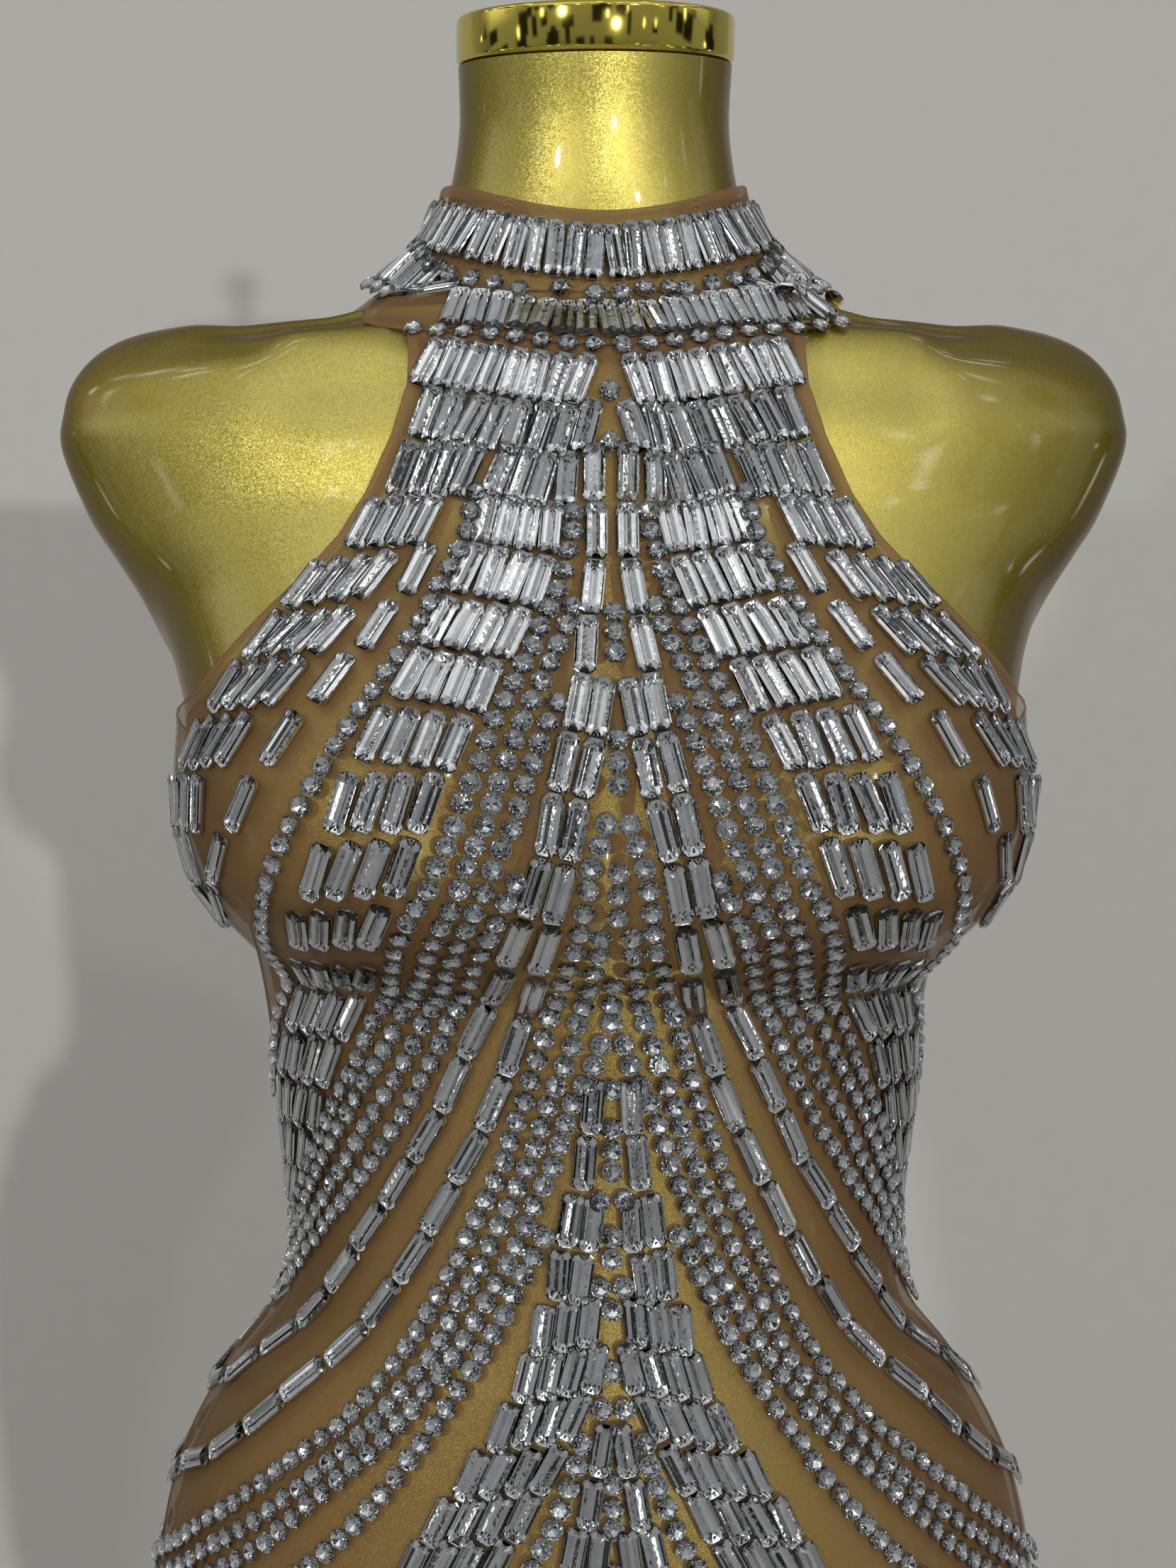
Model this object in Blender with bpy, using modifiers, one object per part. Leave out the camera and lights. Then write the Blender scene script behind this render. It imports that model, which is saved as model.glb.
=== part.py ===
"""Mini dress on an armless dress form with its stand.

Metres, +Z up, the front faces -Y, the floor is at z = 0 under the middle of the base.
Run with: blender --background --python part.py
"""
import math
from bisect import bisect_right
from collections import namedtuple

import bpy
from mathutils import Vector
from mathutils.geometry import delaunay_2d_cdt

# Driving dimensions of the form
BUST_HEIGHT = 1.205          # floor to the bust line
BUST_ANGLE = 36.0            # degrees round from the front centre to each bust point
BUST_DEPTH = 0.043           # how far a bust point stands out of the rib cage
BUST_INNER = 40.0            # degrees from a bust point to the valley between the two
BUST_OUTER = 60.0            # degrees from a bust point to the side
BUST_DROP = 0.018            # the bust's fullest place under the bust line
BUST_ABOVE = 0.122           # fullest place up to where the chest is plain
BUST_BELOW = 0.054           # fullest place down to the fold under it

# The form's rings, from its flat underside to the top of the neck: height over the bust line,
# half the width, depth to the front, depth to the back, how far back its middle lies, degrees
# that it leans forward, and share of its depth that it loses towards the sides
Ring = namedtuple("Ring", "height half_width front back middle lean thin")
BODY = tuple(Ring(*row) for row in (
    (-0.5750, 0.1460, 0.0840, 0.0940, 0.0000, 0.0, 0.00),
    (-0.5000, 0.1560, 0.0900, 0.1040, 0.0000, 0.0, 0.00),
    (-0.4200, 0.1650, 0.0950, 0.1160, 0.0000, 0.0, 0.00),
    (-0.3450, 0.1660, 0.0980, 0.1220, 0.0000, 0.0, 0.00),
    (-0.2900, 0.1600, 0.0980, 0.1180, 0.0000, 0.0, 0.00),
    (-0.2500, 0.1510, 0.0960, 0.1070, 0.0000, 0.0, 0.00),
    (-0.2150, 0.1325, 0.0930, 0.0930, 0.0000, 0.0, 0.00),
    (-0.1900, 0.1145, 0.0905, 0.0810, 0.0000, 0.0, 0.00),
    (-0.1550, 0.1100, 0.0875, 0.0710, 0.0000, 0.0, 0.00),
    (-0.1150, 0.1150, 0.0870, 0.0730, 0.0000, 0.0, 0.00),
    (-0.0650, 0.1225, 0.0900, 0.0800, 0.0000, 0.0, 0.00),
    (-0.0100, 0.1400, 0.0890, 0.0880, 0.0000, 0.0, 0.00),
    (0.0220, 0.1460, 0.0885, 0.0910, 0.0000, 0.0, 0.00),
    (0.0400, 0.1540, 0.0875, 0.0920, 0.0000, 0.0, 0.00),
    (0.0550, 0.1620, 0.0865, 0.0930, 0.0000, 0.0, 0.00),
    (0.0700, 0.1700, 0.0855, 0.0930, 0.0000, 0.0, 0.00),
    (0.0846, 0.1795, 0.0840, 0.0930, 0.0000, 0.0, 0.00),
    (0.1002, 0.1895, 0.0820, 0.0920, 0.0000, 0.0, 0.12),
    (0.1257, 0.2000, 0.0785, 0.0880, 0.0000, 0.0, 0.25),
    (0.1400, 0.1993, 0.0755, 0.0850, 0.0000, 0.0, 0.40),
    (0.1500, 0.1965, 0.0715, 0.0820, 0.0000, 0.0, 0.55),
    (0.1590, 0.1900, 0.0625, 0.0785, 0.0000, 0.0, 0.68),
    (0.1655, 0.1810, 0.0572, 0.0755, 0.0000, 0.0, 0.75),
    (0.1698, 0.1690, 0.0556, 0.0730, 0.0000, 0.0, 0.75),
    (0.1706, 0.1560, 0.0552, 0.0710, 0.0000, 0.0, 0.76),
    (0.1711, 0.1350, 0.0549, 0.0695, 0.0000, 0.0, 0.74),
    (0.1724, 0.1130, 0.0546, 0.0675, 0.0000, 0.0, 0.62),
    (0.1770, 0.0945, 0.0542, 0.0650, 0.0000, 0.0, 0.45),
    (0.1836, 0.0820, 0.0538, 0.0620, 0.0000, 0.0, 0.28),
    (0.1910, 0.0720, 0.0532, 0.0595, 0.0000, 0.0, 0.12),
    (0.2010, 0.0615, 0.0523, 0.0570, 0.0000, 1.0, 0.00),
    (0.2180, 0.0550, 0.0512, 0.0540, -0.0010, 3.0, 0.00),
    (0.2430, 0.0505, 0.0500, 0.0510, -0.0050, 8.0, 0.00),
    (0.2670, 0.0508, 0.0508, 0.0508, -0.0100, 12.0, 0.00),
))
FORM_COLUMNS = 42
FORM_ROW = 0.022             # surface distance between the form's rings
FINENESS = 20                # measured places between two rows of the form's table

# Driving dimensions of the dress
HEM = -0.530                 # hem, from the bust line
CLOTH_GAP = 0.0022           # form to cloth
CLOTH = 0.0015               # the mesh's wall
STONE = 0.0028               # how far a baguette stone stands out of the mesh
SEAM = 0.0006                # from one cut piece to the next
VALLEY = 0.55                # share of the bust's depth that the stretched cloth keeps between
CLOTH_BELOW = 0.058          # fullest place down to where the cloth meets the ribs
PANEL_ROW = 0.021            # surface distance between a panel's rows of points
PANEL_COLUMN = 10.0          # degrees between a panel's columns of points
BUST_ZONE = 0.085            # over and under the bust line, where the points lie twice as close
FLAT = 0.0024                # width of one degree round on the flat pattern
EDGE_ROOM = 0.008            # a panel's edge to its nearest inside point
CLOSE_ROOM = 0.0056          # the same round the bust
EDGE_STEP = 0.020            # longest straight stretch of a panel's edge

# The front's armhole edge, from the collar to the side seam: distance from the centre line
# and height over the bust line
ARMHOLE = (
    (0.0688, 0.1565), (0.0680, 0.1480), (0.0685, 0.1370), (0.0710, 0.1290), (0.0740, 0.1190),
    (0.0790, 0.1080), (0.0830, 0.0985), (0.0915, 0.0840), (0.1035, 0.0700), (0.1170, 0.0567),
    (0.1280, 0.0450), (0.1405, 0.0310),
)
UNDERARM = 0.0170            # height of the side seam's top
SIDE_ANGLE = 90.0            # degrees round to the side seams
SEAM_ANGLE = 0.12            # half a seam's gap, in degrees round
# The open back's edge, from the underarm to the middle: degrees round and height
BACK_EDGE = ((90, 0.0170), (105, -0.0080), (120, -0.0370), (135, -0.0630), (150, -0.0830),
             (165, -0.0950), (180, -0.0990))

# Middles of the collar's two rows of stones, round to the nape: degrees and height
COLLAR_LOW_ROW = ((0, 0.1580), (5, 0.1587), (9, 0.1607), (12, 0.1622), (17, 0.1643),
                  (20, 0.1657), (24, 0.1677), (28, 0.1705), (35, 0.1745), (57, 0.1850),
                  (90, 0.1925), (130, 0.1915), (180, 0.1890))
COLLAR_HIGH_ROW = ((0, 0.1860), (13, 0.1880), (22, 0.1900), (36, 0.1938), (53, 0.1990),
                   (90, 0.2085), (180, 0.2095))
COLLAR_HEM = 0.0027          # mesh below the lower row
COLLAR_TOP_FRONT = 0.2030    # top edge at the throat
COLLAR_TOP_SIDE = 0.2215     # top edge from the sides to the nape
COLLAR_TOP_TURN = 80.0       # degrees round over which it rises
COLLAR_COLUMN = 7.5          # degrees between the collar's columns
COLLAR_OVERLAP = 15.0        # degrees that the ends lie over each other at the nape
COLLAR_COVERED = 2.2         # overlaps from the lower end that the upper one keeps bare of stones
COLLAR_LEAST = 0.0008        # least surface distance between the collar's rows of points
COLLAR_PLAIN = (0, 3, 5, 8, 11)  # the outer side's rows of points that the inner one has too
CLIMBS = 8                   # stretches in which a distance up the surface is measured

# Driving dimensions of the raised rows of baguette stones
STONE_LENGTH = 0.0196        # along a stone
STONE_WIDTH = 0.0072         # across a stone
STONE_PITCH = 0.0208         # from stone to stone along a single line
STONE_EDGE = 0.0006          # how far a row's top lies in from its foot
STONE_ROOM = 0.0005          # least room between two rows
ROW_STRETCH = 0.013          # longest stretch of a row's edge
SHRINKS = 5                  # times that a row is shortened to clear its neighbours
SHRINK_SHARE = 0.06          # share of its length that it loses each time
EDGE_STONE = 0.0018          # room from a row to the panel's edge
BLOCK_ROOM = 0.004           # room from a row to the nearest point of the plain mesh
BLOCK_REACH = 0.10           # past this distance a row isn't looked at
# Rows of stones side by side, from the top down: degrees round and height of the middle of the
# row's first stone, then of its last, on one half of the dress
CHEST_ROWS = ((2.6, 0.1367, 17.8, 0.1437), (2.1, 0.1200, 19.4, 0.1260))
ARMHOLE_ROWS = ((14.4, 0.1060, 22.8, 0.1056), (21.6, 0.0879, 28.4, 0.0866),
                (26.9, 0.0684, 35.0, 0.0655), (32.8, 0.0493, 41.0, 0.0486),
                (39.3, 0.0328, 48.0, 0.0322), (46.5, 0.0138, 55.5, 0.0126),
                (53.7, -0.0066, 64.0, -0.0060), (60.0, -0.0240, 70.0, -0.0230),
                (65.0, -0.0400, 73.0, -0.0390))
BUST_ROWS = ((4.3, 0.1028, 10.8, 0.1049), (6.5, 0.0843, 13.3, 0.0882),
             (8.4, 0.0657, 16.0, 0.0703), (11.7, 0.0479, 19.9, 0.0515),
             (15.5, 0.0303, 23.7, 0.0341), (19.1, 0.0120, 27.9, 0.0150),
             (22.3, -0.0066, 31.4, -0.0066), (25.5, -0.0265, 35.5, -0.0278),
             (30.5, -0.0440, 41.7, -0.0456), (37.5, -0.0620, 51.0, -0.0620),
             (46.0, -0.0800, 61.0, -0.0790), (53.0, -0.0975, 69.0, -0.0965),
             (59.0, -0.1150, 75.0, -0.1135), (66.0, -0.1310, 79.0, -0.1295),
             (73.0, -0.1460, 84.0, -0.1450))
MIDDLE_ROWS = ((3.1, -0.1079, 3.1, -0.1079), (4.3, -0.1270, 4.3, -0.1270),
               (3.6, -0.1450, 7.3, -0.1450), (4.6, -0.1620, 9.3, -0.1610),
               (4.6, -0.1790, 12.2, -0.1775), (4.2, -0.1960, 14.8, -0.1945),
               (6.8, -0.2125, 16.4, -0.2125), (9.2, -0.2300, 18.8, -0.2290),
               (11.6, -0.2465, 21.0, -0.2450), (13.8, -0.2630, 23.0, -0.2610))
# Single lines of stones, from the top down: degrees round and height
GAPPED_LINE = ((18.0, 0.0877), (21.8, 0.0704), (27.2, 0.0506), (33.0, 0.0330), (39.2, 0.0138),
               (44.8, -0.0066), (51.2, -0.0240), (57.0, -0.0390))
UPPER_LINE = ((1.7, 0.1046), (1.6, 0.0863), (2.1, 0.0680), (3.1, 0.0495), (4.1, 0.0316),
              (6.0, 0.0128), (7.8, -0.0065), (9.6, -0.0262), (12.2, -0.0432), (16.8, -0.0622),
              (22.3, -0.0857), (27.1, -0.1041), (32.2, -0.1207), (37.8, -0.1351),
              (44.4, -0.1490), (50.0, -0.1630), (55.2, -0.1745), (60.5, -0.1866),
              (66.0, -0.1990), (71.0, -0.2100), (77.1, -0.2180), (86.0, -0.2250))
LOWER_LINE = ((2.0, 0.0238), (3.5, 0.0044), (5.5, -0.0154), (7.7, -0.0356), (10.4, -0.0553),
              (13.7, -0.0767), (17.0, -0.0975), (21.0, -0.1146), (25.8, -0.1313),
              (30.7, -0.1463), (35.6, -0.1616), (41.2, -0.1755), (46.0, -0.1900),
              (50.5, -0.2040), (55.9, -0.2190), (61.6, -0.2320), (67.8, -0.2419),
              (74.8, -0.2487), (86.1, -0.2587))
INNER_LINE = ((2.7, -0.2228), (4.4, -0.2402), (5.6, -0.2560), (7.0, -0.2740))

# Driving dimensions of the cap and the stand
CAP_RADIUS = 0.0516
CAP_HEIGHT = 0.0172
FIT = 0.0004                 # room between pieces that touch
POLE_RADIUS = 0.0125
SOCKET_RADIUS = 0.032
SOCKET_HEIGHT = 0.014
FOOT_RADIUS = 0.026
FOOT_HEIGHT = 0.030
BASE_RADIUS = 0.170
BASE_HEIGHT = 0.010
# The knob on the cap, from its top down its outer side: radius and height
KNOB = ((0.0000, 0.0400), (0.0045, 0.0395), (0.0085, 0.0370), (0.0108, 0.0325),
        (0.0112, 0.0275), (0.0092, 0.0225), (0.0060, 0.0185), (0.0050, 0.0140),
        (0.0062, 0.0095), (0.0105, 0.0062), (0.0150, 0.0045), (0.0155, 0.0025),
        (0.0155, 0.0000), (0.0000, 0.0000))
KNOB_STEPS = 16
ROUND_SIDES = 32

# Colour, roughness and metallic value of each finish
FINISHES = {
    "gold_paint": ((0.42, 0.36, 0.10, 1.0), 0.35, 0.8),
    "gold_chrome": ((0.72, 0.58, 0.10, 1.0), 0.06, 1.0),
    "stoned_mesh": ((0.56, 0.54, 0.50, 1.0), 0.25, 0.2),
}


def curve_value(before, start, end, after, share):
    """Value of the smooth curve between two rows of a table."""
    slope_start = (end - before) / 2
    slope_end = (after - start) / 2
    rise = end - start
    return (start + slope_start * share
            + (3 * rise - 2 * slope_start - slope_end) * share ** 2
            + (slope_start + slope_end - 2 * rise) * share ** 3)


def ring_at(step):
    """Ring of the form at a place between two rows of its table."""
    last = len(BODY) - 1
    index = min(max(int(step), 0), last - 1)
    rows = [BODY[min(max(index + offset, 0), last)] for offset in (-1, 0, 1, 2)]
    share = step - index
    return Ring(*(curve_value(*column, share) for column in zip(*rows)))


def step_at(height):
    """Place in the form's table for a height over the bust line."""
    low, high = 0.0, float(len(BODY) - 1)
    for _ in range(40):
        middle = (low + high) / 2
        if ring_at(middle).height < height:
            low = middle
        else:
            high = middle
    return (low + high) / 2


def eased(share):
    """Smooth start and smooth end between 0 and 1."""
    share = min(max(share, 0.0), 1.0)
    return share * share * (3 - 2 * share)


def bust_lift(angle, height, dressed):
    """How far the bust, or the cloth stretched over it, stands out of the rib cage."""
    height += BUST_DROP
    below = CLOTH_BELOW if dressed else BUST_BELOW
    fall = (height / BUST_ABOVE) ** 2 if height > 0 else (-height / below) ** 3
    side = abs((angle + 180.0) % 360.0 - 180.0)
    if dressed and side < BUST_ANGLE:
        kept = VALLEY + (1 - VALLEY) * eased(side / BUST_ANGLE)
        return BUST_DEPTH * max(0.0, 1 - fall) ** 2 * kept
    lift = 0.0
    for centre in (BUST_ANGLE, -BUST_ANGLE):
        away = side - centre
        width = BUST_OUTER if away > 0 and centre > 0 else BUST_INNER
        lift += BUST_DEPTH * max(0.0, 1 - fall - (away / width) ** 2) ** 2
    return lift


def skin_point(angle, step, dressed):
    """Point of the form, or of the cloth's path over it, at degrees round from the front."""
    ring = ring_at(step)
    turn = math.radians(angle)
    depth = ring.front if math.cos(turn) > 0 else ring.back
    outward = Vector((math.sin(turn) / ring.half_width, -math.cos(turn) / depth, 0)).normalized()
    ahead = -depth * math.cos(turn) * (1 - ring.thin * (1 - abs(math.cos(turn))))
    height = ring.height + math.tan(math.radians(ring.lean)) * ahead
    point = Vector((ring.half_width * math.sin(turn), ring.middle + ahead, BUST_HEIGHT + height))
    return point + outward * bust_lift(angle, ring.height, dressed)


def lifted_point(angle, step, lift, dressed=True):
    """Point at a distance off the form, square to its surface."""
    across = skin_point(angle + 0.5, step, dressed) - skin_point(angle - 0.5, step, dressed)
    up = skin_point(angle, step + 0.03, dressed) - skin_point(angle, step - 0.03, dressed)
    return skin_point(angle, step, dressed) + across.cross(up).normalized() * lift


def profile_lengths():
    """Distance along the form's surface from its underside to each measured place."""
    steps = [index / FINENESS for index in range(FINENESS * (len(BODY) - 1) + 1)]
    lengths = [0.0]
    for before, after in zip(steps, steps[1:]):
        lengths.append(lengths[-1] + (skin_point(45, after, False)
                                      - skin_point(45, before, False)).length)
    return steps, lengths


STEPS, LENGTHS = profile_lengths()


def length_at(step):
    """Distance along the surface to a place in the form's table."""
    place = min(max(step * FINENESS, 0.0), len(STEPS) - 1.001)
    index = int(place)
    return LENGTHS[index] + (LENGTHS[index + 1] - LENGTHS[index]) * (place - index)


def step_at_length(length):
    """Place in the form's table at a distance along the surface."""
    index = min(max(bisect_right(LENGTHS, length) - 1, 0), len(LENGTHS) - 2)
    share = (length - LENGTHS[index]) / (LENGTHS[index + 1] - LENGTHS[index])
    return STEPS[index] + share / FINENESS


def between(table, value):
    """Value of a two-column table, straight from row to row."""
    for (start, low), (end, high) in zip(table, table[1:]):
        if value <= end:
            return low + (high - low) * (value - start) / (end - start)
    return table[-1][1]


def angle_at(distance, step):
    """Degrees round at which the cloth is a distance from the centre line."""
    low, high = 0.0, 90.0
    for _ in range(40):
        middle = (low + high) / 2
        if skin_point(middle, step, True).x < distance:
            low = middle
        else:
            high = middle
    return (low + high) / 2


def up_surface(angle, step, distance):
    """Place in the form's table at a distance up the surface from another."""
    for _ in range(CLIMBS):
        rise = skin_point(angle, step + 0.05, True) - skin_point(angle, step - 0.05, True)
        step += distance / CLIMBS * 0.1 / rise.length
    return step


def collar_row(angle, row):
    """Place in the form's table of the middle of one of the collar's rows of stones."""
    return step_at(between(row, abs((angle + 180.0) % 360.0 - 180.0)))


def collar_foot(angle):
    """Place in the form's table of the collar's lower edge."""
    middle = collar_row(angle, COLLAR_LOW_ROW)
    return up_surface(angle, middle, -STONE_LENGTH / 2 - COLLAR_HEM)


def collar_chord(angle):
    """Distance along the surface to the collar's lower edge, straight between its columns."""
    low = math.floor(angle / COLLAR_COLUMN)
    share = angle / COLLAR_COLUMN - low
    lengths = [length_at(collar_foot(COLLAR_COLUMN * column)) for column in (low, low + 1)]
    return lengths[0] + (lengths[1] - lengths[0]) * share


def collar_top(angle):
    """Place in the form's table of the collar's upper edge."""
    side = abs((angle + 180.0) % 360.0 - 180.0)
    rise = eased(side / COLLAR_TOP_TURN)
    return step_at(COLLAR_TOP_FRONT + (COLLAR_TOP_SIDE - COLLAR_TOP_FRONT) * rise)


def finish(name):
    """Material of one finish."""
    material = bpy.data.materials.get(name)
    if material:
        return material
    colour, roughness, metallic = FINISHES[name]
    material = bpy.data.materials.new(name)
    material.use_nodes = True
    shader = material.node_tree.nodes["Principled BSDF"]
    shader.inputs["Base Color"].default_value = colour
    shader.inputs["Roughness"].default_value = roughness
    shader.inputs["Metallic"].default_value = metallic
    material.diffuse_color = colour
    return material


def add_object(name, mesh, finish_name, parts):
    """Object of one node, in the dress's collection."""
    mesh.materials.append(finish(finish_name))
    thing = bpy.data.objects.new(name, mesh)
    parts.objects.link(thing)
    return thing


def mesh_of(name, points, faces, smooth_angle):
    """Mesh of listed points and faces, smooth but for edges sharper than an angle."""
    mesh = bpy.data.meshes.new(name)
    mesh.from_pydata(points, [], faces)
    mesh.validate()
    mesh.shade_smooth()
    mesh.set_sharp_from_angle(angle=math.radians(smooth_angle))
    return mesh


def loft(rings):
    """Faces that join closed rings of equal numbers of points, with a flat face at each end."""
    count = len(rings[0])
    points = [point for ring in rings for point in ring]
    faces = []
    for row in range(len(rings) - 1):
        for column in range(count):
            after = (column + 1) % count
            faces.append((row * count + column, row * count + after,
                          (row + 1) * count + after, (row + 1) * count + column))
    faces.append(tuple(range(count - 1, -1, -1)))
    faces.append(tuple(range(len(points) - count, len(points))))
    return points, faces


def build_form(parts):
    """The armless form, one smooth closed body."""
    rows = round(LENGTHS[-1] / FORM_ROW)
    rings = []
    for row in range(rows + 1):
        step = step_at_length(LENGTHS[-1] * row / rows)
        rings.append([skin_point(360.0 * column / FORM_COLUMNS, step, False)
                      for column in range(FORM_COLUMNS)])
    points, faces = loft(rings)
    add_object("form", mesh_of("form", points, faces, 40), "gold_paint", parts)


def split_edges(outline):
    """Closed outline with its long edges split into even stretches."""
    places = []
    for start, end in zip(outline, outline[1:] + outline[:1]):
        run = Vector(end) - Vector(start)
        count = max(1, math.ceil(run.length / EDGE_STEP))
        places += [tuple(Vector(start) + run * index / count) for index in range(count)]
    return places


def inside(point, outline):
    """Whether a point lies inside a closed outline."""
    odd = False
    for (start_x, start_y), (end_x, end_y) in zip(outline, outline[1:] + outline[:1]):
        if (start_y > point[1]) != (end_y > point[1]):
            cross = start_x + (end_x - start_x) * (point[1] - start_y) / (end_y - start_y)
            odd = odd != (point[0] < cross)
    return odd


def edge_distance(point, outline):
    """Distance from a point to the nearest edge of an outline."""
    nearest = math.inf
    spot = Vector(point)
    for start, end in zip(outline, outline[1:] + outline[:1]):
        run = Vector(end) - Vector(start)
        share = min(max((spot - Vector(start)).dot(run) / run.length_squared, 0.0), 1.0)
        nearest = min(nearest, (Vector(start) + run * share - spot).length)
    return nearest


def flat_place(angle, step):
    """Place on the flat pattern of degrees round and a place in the form's table."""
    return (angle * FLAT, length_at(step))


def round_place(flat):
    """Degrees round and place in the form's table of a place on the flat pattern."""
    return flat[0] / FLAT, step_at_length(flat[1])


def loop_edges(first, count):
    """Edges of a closed loop of points that are numbered on from the first."""
    return [(first + index, first + (index + 1) % count) for index in range(count)]


def filled(outline, spots, blocks, base_lift):
    """Points and triangles that fill an outline on the flat pattern, with raised blocks."""
    given_places = outline + spots
    edges = loop_edges(0, len(outline))
    for level in (0, 1):
        first_raised = len(given_places)
        for block in blocks:
            edges += loop_edges(len(given_places), len(block[level]))
            given_places = given_places + block[level]
    flats = [Vector(place) for place in given_places]
    places, _, triangles, sources, _, _ = delaunay_2d_cdt(flats, edges, [], 1, 1e-7)
    points = []
    for place, source in zip(places, sources):
        raised = any(given >= first_raised for given in source)
        points.append(lifted_point(*round_place(place), base_lift + STONE * raised))
    rim = [0] * len(outline)
    for index, source in enumerate(sources):
        for given in source:
            if given < len(outline):
                rim[given] = index
    return points, [tuple(triangle) for triangle in triangles], rim


def row_block(start, end, along, length, width):
    """Corners of a row of stones on the flat pattern, anticlockwise."""
    middle_angle = (start[0] + end[0]) / 2
    step = step_at_length((start[1] + end[1]) / 2)
    degree = (skin_point(middle_angle + 0.5, step, True)
              - skin_point(middle_angle - 0.5, step, True)).length
    across = Vector(((end[0] - start[0]) * degree, end[1] - start[1]))
    side = across.normalized() if across.length > 0 else Vector((along.y, -along.x))
    count = max(1, math.ceil((across.length + width) / ROW_STRETCH))
    low, high = [], []
    for index in range(count + 1):
        share = index / count
        spot = side * ((across.length + width) * share - width / 2)
        for corners, lengthways in ((low, -length / 2), (high, length / 2)):
            offset = spot + along * lengthways
            corners.append(((start[0] + offset.x / degree) * FLAT, start[1] + offset.y))
    return low + high[::-1]


def row_along(before, after):
    """Direction along the stones between two places, upwards and as long as one."""
    step = step_at_length((before[1] + after[1]) / 2)
    middle_angle = (before[0] + after[0]) / 2
    degree = (skin_point(middle_angle + 0.5, step, True)
              - skin_point(middle_angle - 0.5, step, True)).length
    return Vector(((before[0] - after[0]) * degree, before[1] - after[1])).normalized()


def spread_line(line):
    """Rows of one stone each, evenly spaced down a line."""
    places = [(angle, step_at(height)) for angle, height in line]
    points = [skin_point(angle, step, True) for angle, step in places]
    travelled = [0.0]
    for before, after in zip(points, points[1:]):
        travelled.append(travelled[-1] + (after - before).length)
    rows = []
    for index in range(int(travelled[-1] / STONE_PITCH) + 1):
        distance = index * STONE_PITCH
        after = next(number for number, far in enumerate(travelled) if far >= distance - 1e-9)
        before = max(after - 1, 0)
        run = max(travelled[after] - travelled[before], 1e-9)
        share = (distance - travelled[before]) / run
        angle, height = (low + (high - low) * share
                         for low, high in zip(line[before], line[after]))
        rows.append((angle, height, angle, height))
    return rows


def apart(block, other):
    """Whether two blocks on the flat pattern leave room between them."""
    for axis in (0, 1):
        if (min(place[axis] for place in block) > max(place[axis] for place in other) + STONE_ROOM
                or min(place[axis] for place in other)
                > max(place[axis] for place in block) + STONE_ROOM):
            return True
    for one, two in ((block, other), (other, block)):
        for place in one:
            if inside(place, two) or edge_distance(place, two) < STONE_ROOM:
                return False
    return True


def mirrored(block):
    """Block of the other half of the dress."""
    return [(-left, height) for left, height in reversed(block)]


def stone_blocks(outline, on_back):
    """Foot and top corners of every raised row of stones of a panel."""
    groups = [CHEST_ROWS, BUST_ROWS, ARMHOLE_ROWS, MIDDLE_ROWS]
    groups.append([place * 2 for place in GAPPED_LINE])
    groups += [spread_line(line) for line in (UPPER_LINE, LOWER_LINE, INNER_LINE)]
    blocks = []
    for rows in groups:
        places = [((row[0], length_at(step_at(row[1]))), (row[2], length_at(step_at(row[3]))))
                  for row in rows]
        middles = [((start[0] + end[0]) / 2, (start[1] + end[1]) / 2) for start, end in places]
        for index, (start, end) in enumerate(places):
            along = row_along(middles[max(index - 1, 0)], middles[min(index + 1, len(rows) - 1)])
            for shrink in range(SHRINKS):
                length = STONE_LENGTH * (1 - SHRINK_SHARE * shrink)
                inset = 2 * STONE_EDGE
                foot = row_block(start, end, along, length, STONE_WIDTH)
                top = row_block(start, end, along, length - inset, STONE_WIDTH - inset)
                if on_back:
                    half_turn = 180.0 * FLAT
                    foot = [(half_turn + left, height) for left, height in mirrored(foot)]
                    top = [(half_turn + left, height) for left, height in mirrored(top)]
                clear = all(inside(place, outline) and edge_distance(place, outline) > EDGE_STONE
                            for place in foot)
                if clear and all(apart(foot, other) for other, _ in blocks):
                    blocks.append((foot, top))
                    break
    full_turn = 360.0 * FLAT if on_back else 0.0
    others = [tuple([(full_turn + left, height) for left, height in mirrored(loop)]
                    for loop in block) for block in blocks]
    return blocks + others


def near_block(spot, blocks):
    """Whether a place on the flat pattern lies in a row of stones or close to one."""
    for foot, _ in blocks:
        if abs(spot[0] - foot[0][0]) > BLOCK_REACH or abs(spot[1] - foot[0][1]) > BLOCK_REACH:
            continue
        if inside(spot, foot) or edge_distance(spot, foot) < BLOCK_ROOM:
            return True
    return False


def panel_spots(outline, blocks):
    """Even places inside an outline, clear of its edge, closer together round the bust."""
    lefts = [place[0] for place in outline]
    heights = [place[1] for place in outline]
    width, height = PANEL_COLUMN * FLAT / 2, PANEL_ROW / 2
    low_bust, high_bust = length_at(step_at(-BUST_ZONE)), length_at(step_at(BUST_ZONE))
    spots = []
    for row in range(math.floor(min(heights) / height), math.ceil(max(heights) / height) + 1):
        for column in range(math.floor(min(lefts) / width), math.ceil(max(lefts) / width) + 1):
            spot = (column * width, row * height)
            close = low_bust < spot[1] < high_bust and abs(spot[0]) < SIDE_ANGLE * FLAT
            even = row % 2 == 0 and column % 2 == 0
            room = CLOSE_ROOM if close else EDGE_ROOM
            if not (close or even) or not inside(spot, outline):
                continue
            if edge_distance(spot, outline) > room and not near_block(spot, blocks):
                spots.append(spot)
    return spots


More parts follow.
